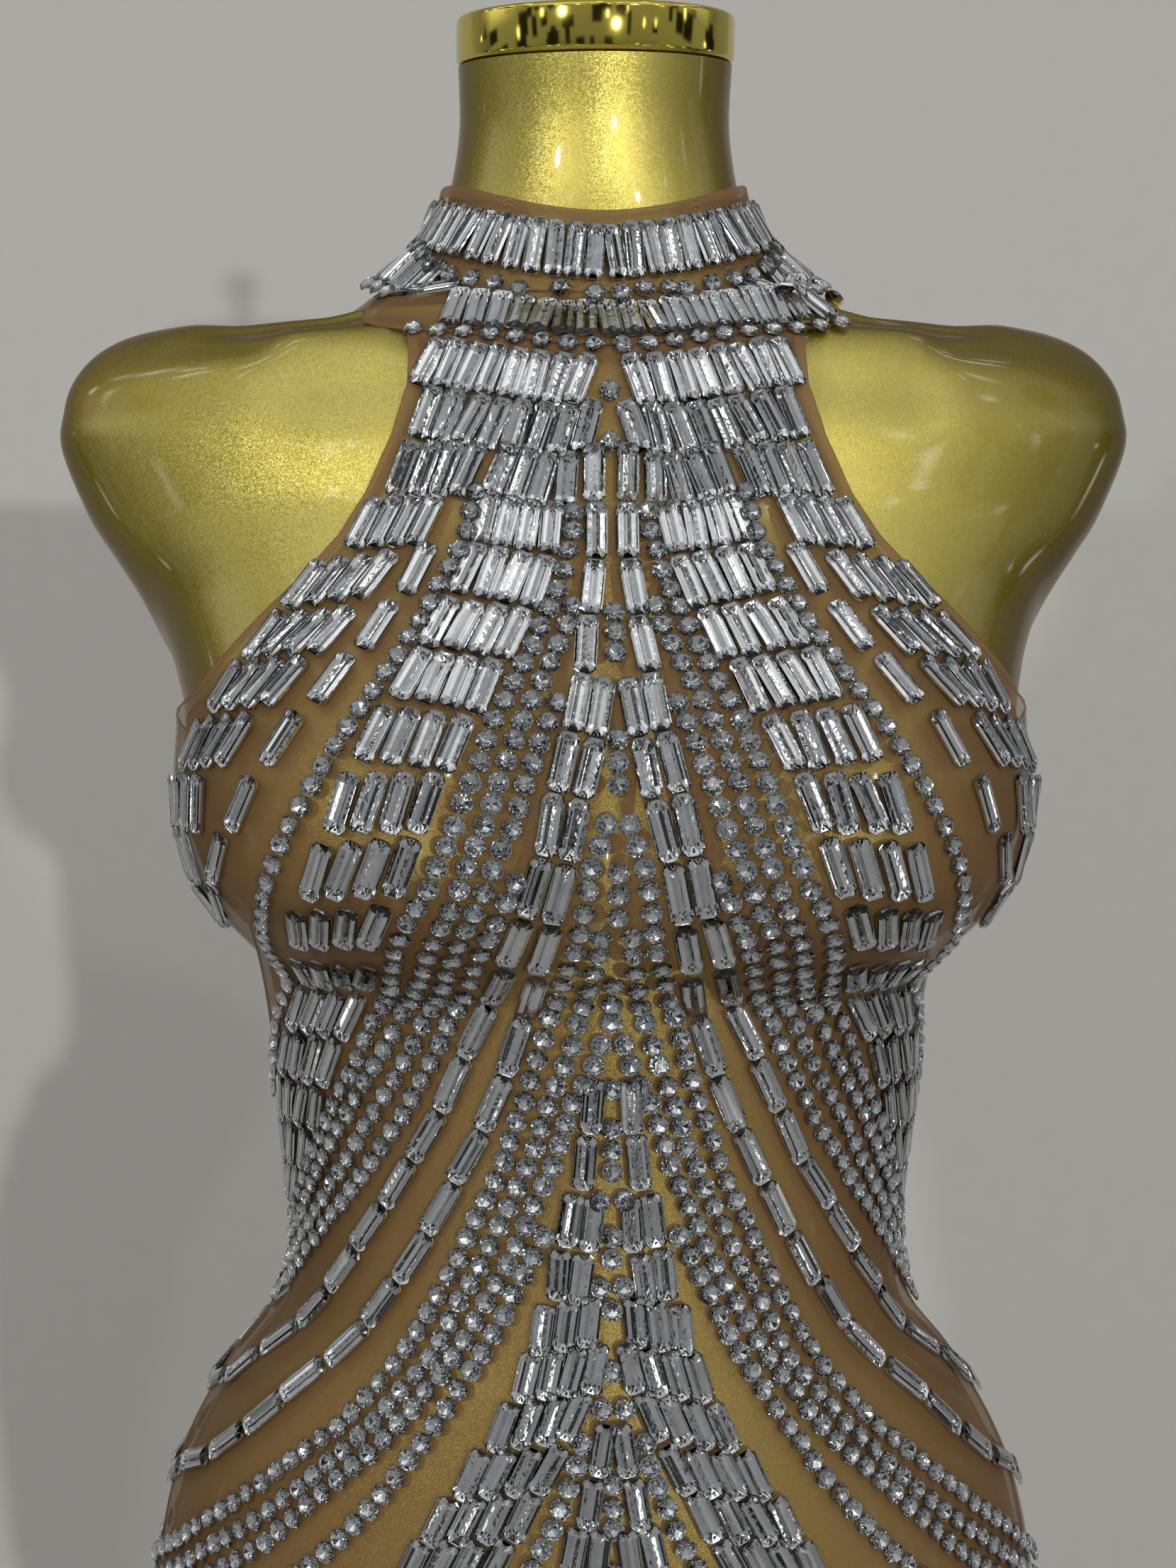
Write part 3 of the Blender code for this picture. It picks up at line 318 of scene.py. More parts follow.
@dataclass
class BodyShape:
    """The form's surface, bare or under the stretched cloth."""

    bust_height: float = 1.205
    bust_angle: float = 36.0
    bust_depth: float = 0.043
    bust_inner: float = 40.0
    bust_outer: float = 60.0
    bust_drop: float = 0.018
    bust_above: float = 0.122
    bust_below: float = 0.054
    cloth_below: float = 0.058
    valley: float = 0.55
    measured_at: float = 45.0
    fineness: int = 20
    near_angle: float = 0.5
    near_step: float = 0.03
    climbs: int = 8
    climb_step: float = 0.05
    halvings: int = 30

    def __post_init__(self) -> None:
        """Reads the rings and measures the surface from the underside up."""
        self.rings = [Ring(*row) for row in RINGS]
        count = self.fineness * (len(self.rings) - 1) + 1
        self.steps = [index / self.fineness for index in range(count)]
        self.heights = [self.ring_at(step).height for step in self.steps]
        self.lengths = distances([self.skin_point(self.measured_at, step, False)
                                  for step in self.steps])

    def ring_at(self, step: float) -> Ring:
        """Ring at a place between two rows of the table.

        Args:
            step: Row number, with the share of the way to the next row.

        Returns:
            The ring there.
        """
        last = len(self.rings) - 1
        index = min(max(int(step), 0), last - 1)
        share = step - index
        rows = [self.rings[min(max(index + offset, 0), last)] for offset in (-1, 0, 1, 2)]
        values = []
        for before, start, end, after in zip(*rows):
            slope_start, slope_end, rise = (end - before) / 2, (after - start) / 2, end - start
            values.append(start + slope_start * share
                          + (3 * rise - 2 * slope_start - slope_end) * share ** 2
                          + (slope_start + slope_end - 2 * rise) * share ** 3)
        return Ring(*values)

    def _step_of(self, table: list, value: float) -> float:
        """Step at which a rising table has a value."""
        index = min(max(bisect_right(table, value) - 1, 0), len(table) - 2)
        share = (value - table[index]) / (table[index + 1] - table[index])
        return self.steps[index] + share / self.fineness

    def step_at(self, height: float) -> float:
        """Step at a height over the bust line."""
        return self._step_of(self.heights, height)

    def step_at_length(self, length: float) -> float:
        """Step at a distance along the surface from the underside."""
        return self._step_of(self.lengths, length)

    def length_at(self, step: float) -> float:
        """Distance along the surface from the underside to a step."""
        place = min(max(step * self.fineness, 0.0), len(self.steps) - 1.001)
        index = int(place)
        low, high = self.lengths[index], self.lengths[index + 1]
        return low + (high - low) * (place - index)

    def bust_lift(self, angle: float, height: float, dressed: bool) -> float:
        """How far the bust, or the cloth stretched over it, stands out of the rib cage."""
        height += self.bust_drop
        below = self.cloth_below if dressed else self.bust_below
        fall = (height / self.bust_above) ** 2 if height > 0 else (-height / below) ** 3
        side = from_front(angle)
        if dressed and side < self.bust_angle:
            kept = self.valley + (1 - self.valley) * eased(side / self.bust_angle)
            return self.bust_depth * max(0.0, 1 - fall) ** 2 * kept
        lift = 0.0
        for centre in (self.bust_angle, -self.bust_angle):
            away = side - centre
            width = self.bust_outer if away > 0 and centre > 0 else self.bust_inner
            lift += self.bust_depth * max(0.0, 1 - fall - (away / width) ** 2) ** 2
        return lift

    def skin_point(self, angle: float, step: float, dressed: bool = True) -> Vector:
        """Point of the form, or of the cloth's path over it, at degrees round from the front."""
        ring = self.ring_at(step)
        turn = math.radians(angle)
        depth = ring.front if math.cos(turn) > 0 else ring.back
        outward = Vector((math.sin(turn) / ring.half_width, -math.cos(turn) / depth, 0))
        ahead = -depth * math.cos(turn) * (1 - ring.thin * (1 - abs(math.cos(turn))))
        height = ring.height + math.tan(math.radians(ring.lean)) * ahead
        point = Vector((ring.half_width * math.sin(turn), ring.middle + ahead,
                        self.bust_height + height))
        return point + outward.normalized() * self.bust_lift(angle, ring.height, dressed)

    def directions(self, angle: float, step: float, dressed: bool = True) -> tuple[Vector, Vector]:
        """Way across the surface for one degree, and the direction square out of it."""
        across = (self.skin_point(angle + self.near_angle, step, dressed)
                  - self.skin_point(angle - self.near_angle, step, dressed))
        up = (self.skin_point(angle, step + self.near_step, dressed)
              - self.skin_point(angle, step - self.near_step, dressed))
        return across, across.cross(up).normalized()

    def lifted_point(self, angle: float, step: float, lift: float) -> Vector:
        """Point at a distance off the cloth's path, square to it."""
        return self.skin_point(angle, step) + self.directions(angle, step)[1] * lift

    def up_surface(self, angle: float, step: float, distance: float) -> float:
        """Step at a distance up the surface from another."""
        for _ in range(self.climbs):
            rise = (self.skin_point(angle, step + self.climb_step)
                    - self.skin_point(angle, step - self.climb_step))
            step += distance / self.climbs * 2 * self.climb_step / rise.length
        return step

    def angle_at(self, distance: float, step: float) -> float:
        """Degrees round at which the cloth is a distance from the centre line."""
        low, high = 0.0, 90.0
        for _ in range(self.halvings):
            middle = (low + high) / 2
            if self.skin_point(middle, step).x < distance:
                low = middle
            else:
                high = middle
        return (low + high) / 2


@dataclass(frozen=True)
class Graph:
    """A node tree, with short ways to add to it."""

    tree: bpy.types.NodeTree

    def feed(self, node: bpy.types.Node, feeds: dict) -> None:
        """Sets a node's inputs, by name or number, to values or to other nodes' outputs."""
        for name, value in feeds.items():
            if isinstance(value, Socket):
                self.tree.links.new(value, node.inputs[name])
            else:
                node.inputs[name].default_value = value

    def add(self, kind: str, feeds: dict | None = None, **settings: object) -> bpy.types.Node:
        """Adds a node.

        Args:
            kind: Type of the node.
            feeds: What its inputs are set to or fed by.
            settings: Its other properties.

        Returns:
            The node.
        """
        node = self.tree.nodes.new(kind)
        for name, value in settings.items():
            setattr(node, name, value)
        self.feed(node, feeds or {})
        return node

    def math(self, operation: str, *values: object) -> Socket:
        """Result of a sum."""
        return self.add("ShaderNodeMath", dict(enumerate(values)), operation=operation).outputs[0]

    def vector(self, operation: str, *values: object) -> Socket:
        """Result of a vector sum."""
        node = self.add("ShaderNodeVectorMath", dict(enumerate(values)), operation=operation)
        return node.outputs["Vector"]

    def ramp(self, value: Socket, start: tuple = (0.0, 1.0), end: tuple = (0.0, 1.0),
             kind: str = "LINEAR") -> Socket:
        """Value moved from one range to another."""
        feeds = {"Value": value, "From Min": start[0], "From Max": start[1], "To Min": end[0],
                 "To Max": end[1]}
        return self.add("ShaderNodeMapRange", feeds, interpolation_type=kind).outputs["Result"]

    def mix(self, share: Socket, first: object, second: object) -> Socket:
        """Colour between two others."""
        node = self.add("ShaderNodeMix", {0: share, 6: first, 7: second}, data_type="RGBA")
        return node.outputs[2]

    def value(self, name: str) -> Socket:
        """Value stored on the piece."""
        return self.add("ShaderNodeAttribute", attribute_name=name).outputs["Fac"]

    def place(self, name: str = "Object") -> Socket:
        """Texture coordinates of a kind."""
        return self.add("ShaderNodeTexCoord").outputs[name]

    def map(self, name: str) -> Socket:
        """The piece's own UV map."""
        return self.add("ShaderNodeUVMap", uv_map=name).outputs["UV"]

    def axes(self, vector: Socket) -> Sockets:
        """X, Y and Z of a vector."""
        return self.add("ShaderNodeSeparateXYZ", {"Vector": vector}).outputs

    def bump(self, height: Socket, strength: float, distance: float) -> Socket:
        """Normal of a raised surface."""
        return self.add("ShaderNodeBump", {"Height": height, "Strength": strength,
                                           "Distance": distance}).outputs["Normal"]

    def group(self, tree: bpy.types.NodeTree, **feeds: object) -> Sockets:
        """Outputs of a node group."""
        return self.add("ShaderNodeGroup", feeds, node_tree=tree).outputs

    def uneven(self, scale: float, detail: float = 2.0) -> Socket:
        """Cloudy mask over the object."""
        return self.group(group_tree("uneven_mask", {"Scale": "Float", "Detail": "Float"},
                                     {"Mask": "Float"}, uneven_mask),
                          Scale=scale, Detail=detail)["Mask"]


def group_tree(name: str, inputs: dict, outputs: dict, fill: Callable,
               kind: str = "ShaderNodeTree") -> bpy.types.NodeTree:
    """Node group with named sockets, built once.

    Args:
        name: Name of the group.
        inputs: Kind of each input.
        outputs: Kind of each output.
        fill: Function of the graph and the inputs' sockets to what feeds the outputs.
        kind: Type of the tree.

    Returns:
        The node tree.
    """
    made = bpy.data.node_groups.get(name)
    if made:
        return made
    tree = bpy.data.node_groups.new(name, kind)
    for way, sockets in (("INPUT", inputs), ("OUTPUT", outputs)):
        for socket, sort in sockets.items():
            tree.interface.new_socket(socket, in_out=way, socket_type="NodeSocket" + sort)
    graph = Graph(tree)
    given = graph.add("NodeGroupInput").outputs
    graph.add("NodeGroupOutput", fill(graph, given))
    return tree


def uneven_mask(graph: Graph, given: Sockets) -> dict:
    """Noise over the object, for rub marks, foil and plaster."""
    noise = graph.add("ShaderNodeTexNoise", {"Vector": graph.place(), "Scale": given["Scale"],
                                             "Detail": given["Detail"]})
    return {"Mask": noise.outputs["Fac"]}


def fine_grain(graph: Graph, given: Sockets) -> dict:
    """Flakes of paint: a value and a tilted normal for each."""
    cells = graph.add("ShaderNodeTexVoronoi", {"Vector": graph.place(), "Scale": given["Scale"]})
    colour = cells.outputs["Color"]
    centred = graph.vector("SUBTRACT", colour, (0.5, 0.5, 0.5))
    tilted = graph.add("ShaderNodeVectorMath", {0: centred, "Scale": given["Tilt"]},
                       operation="SCALE")
    normal = graph.add("ShaderNodeNewGeometry").outputs["Normal"]
    summed = graph.vector("ADD", normal, tilted.outputs["Vector"])
    split = graph.add("ShaderNodeSeparateColor", {"Color": colour})
    return {"Grain": split.outputs["Red"], "Normal": graph.vector("NORMALIZE", summed)}


@dataclass(frozen=True)
class KnittedNet:
    """Knitted net: close crosswise ribs with rows of small holes between them."""

    rib_pitch: float = 0.0009
    hole_pitch: float = 0.0010
    hole_edge: tuple = (0.75, -0.15)

    def fill(self, graph: Graph, given: Sockets) -> dict:
        """Thread mask and rib height, over a map in metres."""
        axes = graph.axes(given["Map"])
        across, upward = (graph.math("COSINE", graph.math("MULTIPLY", axes[axis],
                                                          math.tau / pitch))
                          for axis, pitch in (("X", self.hole_pitch), ("Y", self.rib_pitch)))
        thread = graph.ramp(graph.math("MULTIPLY", across, upward), self.hole_edge,
                            kind="SMOOTHSTEP")
        return {"Thread": thread, "Height": upward}


@dataclass(frozen=True)
class Look:
    """A finish; each kind says what feeds its shader."""

    name: str

    def feeds(self, graph: Graph) -> dict:
        """What feeds each input of the shader."""
        raise NotImplementedError

    def material(self) -> bpy.types.Material:
        """The finish as a material."""
        material = bpy.data.materials.get(self.name) or bpy.data.materials.new(self.name)
        material.use_nodes = True
        graph = Graph(material.node_tree)
        graph.tree.nodes.clear()
        shader = graph.add("ShaderNodeBsdfPrincipled")
        graph.add("ShaderNodeOutputMaterial", {"Surface": shader.outputs["BSDF"]})
        graph.feed(shader, self.feeds(graph))
        return material


@dataclass(frozen=True)
class GoldPaint(Look):
    """Olive gold flake paint under a clear gloss coat, with painted shade towards its edges."""

    name: str = "gold_flake_paint"
    dark: tuple = (0.42, 0.345, 0.055, 1.0)
    light: tuple = (0.60, 0.535, 0.15, 1.0)
    # Painted shade: the dark colour mixed in where the surface turns away from the view
    edge: tuple = (0.17, 0.125, 0.014, 1.0)
    turn: tuple = (0.08, 0.75)
    flake_scale: float = 3000.0
    flake_tilt: float = 0.22

    def feeds(self, graph: Graph) -> dict:
        """Flakes, darker where the surface turns away: painted shade."""
        grain = graph.group(group_tree("fine_grain", {"Scale": "Float", "Tilt": "Float"},
                                       {"Grain": "Float", "Normal": "Vector"}, fine_grain),
                            Scale=self.flake_scale, Tilt=self.flake_tilt)
        facing = graph.add("ShaderNodeLayerWeight", {"Blend": 0.5}).outputs["Facing"]
        turned = graph.ramp(facing, self.turn, kind="SMOOTHSTEP")
        flakes = graph.mix(grain["Grain"], self.dark, self.light)
        return {"Base Color": graph.mix(turned, flakes, self.edge), "Normal": grain["Normal"],
                "Metallic": 0.95, "Roughness": 0.42, "Specular Tint": (0.55, 0.46, 0.16, 1.0),
                "Coat Weight": 0.6, "Coat Roughness": 0.06}


@dataclass(frozen=True)
class PolishedGold(Look):
    """Gold plating, polished to a mirror with faint rub marks."""

    name: str = "polished_gold"
    colour: tuple = (0.62, 0.52, 0.10, 1.0)
    roughness: tuple = (0.042, 0.112)
    rub_scale: float = 90.0
    rub_detail: float = 4.0

    def feeds(self, graph: Graph) -> dict:
        """Rub marks in the gloss."""
        rubbed = graph.uneven(self.rub_scale, self.rub_detail)
        return {"Base Color": self.colour, "Metallic": 1.0,
                "Roughness": graph.ramp(rubbed, end=self.roughness)}


@dataclass(frozen=True)
class PowerMesh(Look):
    """Sheer nude stretch net."""

    name: str = "nude_power_mesh"
    thread: tuple = (0.30, 0.170, 0.072, 1.0)
    # Painted shade: the darker colour of the holes between the threads
    shade: tuple = (0.12, 0.062, 0.024, 1.0)
    cover: tuple = (0.13, 0.43)
    bump: float = 0.35
    rib: float = 0.0003

    def feeds(self, graph: Graph) -> dict:
        """Threads, holes with painted shade in them, and rolled edges."""
        net = graph.group(group_tree("knitted_net", {"Map": "Vector"},
                                     {"Thread": "Float", "Height": "Float"}, KnittedNet().fill),
                          Map=graph.map("cut"))
        cover = graph.ramp(net["Thread"], end=self.cover)
        return {"Base Color": graph.mix(net["Thread"], self.shade, self.thread),
                "Alpha": graph.math("MAXIMUM", cover, graph.value("fold")),
                "Normal": graph.bump(net["Height"], self.bump, self.rib), "Roughness": 0.55,
                "Sheen Weight": 0.04, "Specular IOR Level": 0.15}


@dataclass(frozen=True)
class CutGlass(Look):
    """Clear cut glass of the stones."""

    name: str = "cut_glass"
    colour: tuple = (0.97, 0.985, 1.0, 1.0)
    polish_scale: float = 700.0
    roughness: tuple = (0.0, 0.03)

    def feeds(self, graph: Graph) -> dict:
        """Clear glass with faint polish marks."""
        return {"Base Color": self.colour, "Transmission Weight": 1.0, "IOR": 1.54,
                "Roughness": graph.ramp(graph.uneven(self.polish_scale), end=self.roughness)}


@dataclass(frozen=True)
class SilverFoil(Look):
    """Silver foil under a stone."""

    name: str = "silver_foil"
    dull: tuple = (0.50, 0.52, 0.53, 1.0)
    bright: tuple = (0.84, 0.86, 0.88, 1.0)
    patch_scale: float = 160.0
    crinkle_scale: float = 520.0
    crinkle: float = 0.12
    crinkle_depth: float = 0.00022

    def feeds(self, graph: Graph) -> dict:
        """Patches and fine crinkles."""
        crinkles = graph.uneven(self.crinkle_scale, 1.0)
        return {"Base Color": graph.mix(graph.uneven(self.patch_scale), self.dull, self.bright),
                "Normal": graph.bump(crinkles, self.crinkle, self.crinkle_depth),
                "Metallic": 1.0, "Roughness": 0.05}


@dataclass(frozen=True)
class Matt(Look):
    """Dull surface, a little uneven."""

    dark: tuple
    light: tuple
    scale: float
    roughness: float
    one_sided: bool = False

    def feeds(self, graph: Graph) -> dict:
        """Two mixed colours, and no back where it is one-sided."""
        made = {"Base Color": graph.mix(graph.uneven(self.scale), self.dark, self.light),
                "Roughness": self.roughness}
        if self.one_sided:
            back = graph.add("ShaderNodeNewGeometry").outputs["Backfacing"]
            made["Alpha"] = graph.math("SUBTRACT", 1.0, back)
        return made


# Painted shade: the dark disc that stands for the shade inside each baguette's sewing hole
SEW_HOLE = Matt("sew_hole", (0.02, 0.015, 0.01, 1.0), (0.10, 0.07, 0.05, 1.0), 2500.0, 0.8)
PALE_WALL = Matt("pale_wall", (0.505, 0.499, 0.480, 1.0), (0.530, 0.524, 0.505, 1.0), 60.0, 0.9,
                 one_sided=True)


@dataclass(frozen=True)
class CardLight(Look):
    """Glow of a lit card, or the black of a dark one, that fades out to its edges."""

    fade: tuple
    lit: bool

    def feeds(self, graph: Graph) -> dict:
        """Soft edges, and the card's own glow."""
        axes = graph.axes(graph.map("card"))
        fades = [graph.ramp(graph.math("ABSOLUTE", axes[axis]), self.fade, kind="SMOOTHSTEP")
                 for axis in ("X", "Y")]
        made = {"Alpha": graph.math("MULTIPLY", *fades), "Roughness": 0.9,
                "Base Color": (0.012, 0.012, 0.012, 1.0)}
        if self.lit:
            made |= {"Emission Strength": graph.value("level"),
                     "Emission Color": (1.0, 0.985, 0.95, 1.0)}
        return made


LIT_CARD = CardLight("lit_card", (1.0, 0.1), True)
DARK_CARD = CardLight("dark_card", (1.0, 0.7), False)


@dataclass
class FormBody:
    """The armless form, painted in gold flake, with its collarbones."""

    shape: BodyShape
    columns: int = 168
    row: float = 0.0032
    relief_from: float = 0.1
    bone_height: float = 0.1580
    bone_width: float = 0.0065
    bone_lift: float = 0.0032
    bone_reach: tuple = (0.0640, 0.1260)
    bone_fades: tuple = (0.012, 0.018)
    front_fade: float = 0.02
    hollow_height: float = 0.1380
    hollow_width: float = 0.0130
    hollow_depth: float = 0.0020
    dip: float = 0.0026
    dip_reach: tuple = (0.0800, 0.1520)
    dip_fades: tuple = (0.02, 0.025)
    dip_height: float = 0.160
    dip_rise: float = 0.006
    crease: float = 50.0

    def relieved(self, angle: float, step: float) -> Vector:
        """Point of the form with the collarbones and the dip of the shoulders."""
        point = self.shape.skin_point(angle, step, False)
        rise, side = point.z - self.shape.bust_height, abs(point.x)
        if rise < self.relief_from or side < self.bone_reach[0]:
            return point
        lift = self.bone_lift * math.exp(-((rise - self.bone_height) / self.bone_width) ** 2)
        lift -= self.hollow_depth * math.exp(-((rise - self.hollow_height)
                                               / self.hollow_width) ** 2)
        lift *= self.within(side, self.bone_reach, self.bone_fades)
        lift *= eased(-point.y / self.front_fade)
        drop = (self.dip * self.within(side, self.dip_reach, self.dip_fades)
                * eased((rise - self.dip_height) / self.dip_rise))
        normal = self.shape.directions(angle, step, False)[1]
        return point + normal * lift - Vector((0, 0, drop))

    def within(self, value: float, reach: tuple, fades: tuple) -> float:
        """Share from 0 outside a range to 1 inside it."""
        return eased((value - reach[0]) / fades[0]) * eased((reach[1] - value) / fades[1])

    def build(self) -> Thing:
        """The painted shell, closed at its underside and at the neck."""
        total = self.shape.lengths[-1]
        rows = round(total / self.row)
        points = []
        for index in range(rows + 1):
            step = self.shape.step_at_length(total * index / rows)
            points += [self.relieved(360.0 * column / self.columns, step)
                       for column in range(self.columns)]
        faces = grid_faces(rows, self.columns, closed=True)
        faces.append(tuple(range(self.columns - 1, -1, -1)))
        faces.append(tuple(range(len(points) - self.columns, len(points))))
        thing = new_piece("form_shell", points, faces, (GoldPaint(),))
        thing.data.set_sharp_from_angle(angle=math.radians(self.crease))
        place_piece(thing, Finish.GOLD_PAINT, "form")
        return thing


@dataclass
class TurnedPieces:
    """Polished cap, knob and stand, each turned from a profile of radius and height."""

    shape: BodyShape
    sides: int = 96
    edge_steps: int = 4
    crease: float = 40.0
    fit: float = 0.0004
    cap_radius: float = 0.0516
    cap_height: float = 0.0172
    cap_edge: float = 0.0022
    socket_height: float = 0.014
    foot_height: float = 0.030
    base_height: float = 0.010
    knob: tuple = ((0.0, 0.0400), (0.0045, 0.0395), (0.0085, 0.0370), (0.0108, 0.0325),
                   (0.0112, 0.0275), (0.0092, 0.0225), (0.0060, 0.0185), (0.0050, 0.0140),
                   (0.0062, 0.0095), (0.0105, 0.0062), (0.0150, 0.0045), (0.0155, 0.0025),
                   (0.0155, 0.0), (0.0, 0.0))

    def disc(self, radius: float, low: float, high: float, edge: float) -> list:
        """Profile of a round piece with rounded edges, from its top middle to its bottom."""
        steps = self.edge_steps
        turns = [math.radians(90.0 / steps * index) for index in range(2 * steps + 1)]
        corners = [(turn, high - edge) for turn in turns[:steps + 1]]
        corners += [(turn, low + edge) for turn in turns[steps:]]
        return [(0.0, high), *((radius - edge + edge * math.sin(turn),
                                level + edge * math.cos(turn)) for turn, level in corners),
                (0.0, low)]

    def turned(self, name: str, node: str, profile: list, base: Vector, lean: float) -> None:
        """Builds a piece turned round an upright or leaning axis.

        Args:
            name: Name of the piece.
            node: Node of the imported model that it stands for.
            profile: Radius and height from the top middle down to the bottom middle.
            base: Where the axis starts.
            lean: Angle of the axis ahead of upright.
        """
        turns = [math.tau * side / self.sides for side in range(self.sides)]
        points = [Vector((0, 0, profile[0][1]))]
        points += [Vector((radius * math.cos(turn), radius * math.sin(turn), height))
                   for radius, height in profile[1:-1] for turn in turns]
        points.append(Vector((0, 0, profile[-1][1])))
        stand = Matrix.Translation(base) @ Matrix.Rotation(lean, 4, "X")
        last = len(points) - 1
        faces = [tuple(corner + 1 for corner in (face[0], *face[:0:-1]))
                 for face in grid_faces(len(profile) - 3, self.sides, closed=True)]
        for side in range(self.sides):
            after, bottom = (side + 1) % self.sides, last - self.sides
            faces += [(0, 1 + side, 1 + after), (last, bottom + after, bottom + side)]
        thing = new_piece(name, [stand @ point for point in points], faces, (PolishedGold(),))
        thing.data.set_sharp_from_angle(angle=math.radians(self.crease))
        place_piece(thing, Finish.GOLD_CHROME, node)

    def build(self) -> None:
        """Cap and knob on the neck, and socket, foot, pole and base of the stand."""
        top = self.shape.rings[-1]
        lean = math.radians(top.lean)
        up = Vector((0, -math.sin(lean), math.cos(lean)))
        seat = Vector((0, top.middle, self.shape.bust_height + top.height)) + up * self.fit
        self.turned("cap", "neck_cap", self.disc(self.cap_radius, 0.0, self.cap_height,
                                                 self.cap_edge), seat, lean)
        self.turned("cap_knob", "knob", self.knob, seat + up * (self.cap_height + self.fit), lean)
        under = self.shape.bust_height + self.shape.rings[0].height - self.fit
        socket_low = under - self.socket_height
        foot_low = self.base_height + self.fit
        foot_high = foot_low + self.foot_height
        for node, radius, low, high, edge in (
                ("socket", 0.032, socket_low, under, 0.003),
                ("foot", 0.026, foot_low, foot_high, 0.004),
                ("pole", 0.0125, foot_high + self.fit, socket_low - self.fit, 0.0005),
                ("base", 0.170, 0.0, self.base_height, 0.003)):
            profile = self.disc(radius, low, high, edge)
            self.turned("stand_" + node, node, profile, Vector((0, 0, 0)), 0.0)


@dataclass(frozen=True)
class Cut:
    """A piece of net: its name and node, faces up and across, flat size and area."""

    name: str
    node: str
    rows: int
    columns: int
    flat: tuple
    area: float


FRONT = Cut("front_panel", "dress_front", 280, 164, (0.52, 0.76), 0.30)
BACK = Cut("back_panel", "dress_back", 190, 150, (0.50, 0.60), 0.23)
COLLAR = Cut("collar_band", "collar", 24, 240, (0.50, 0.06), 0.024)


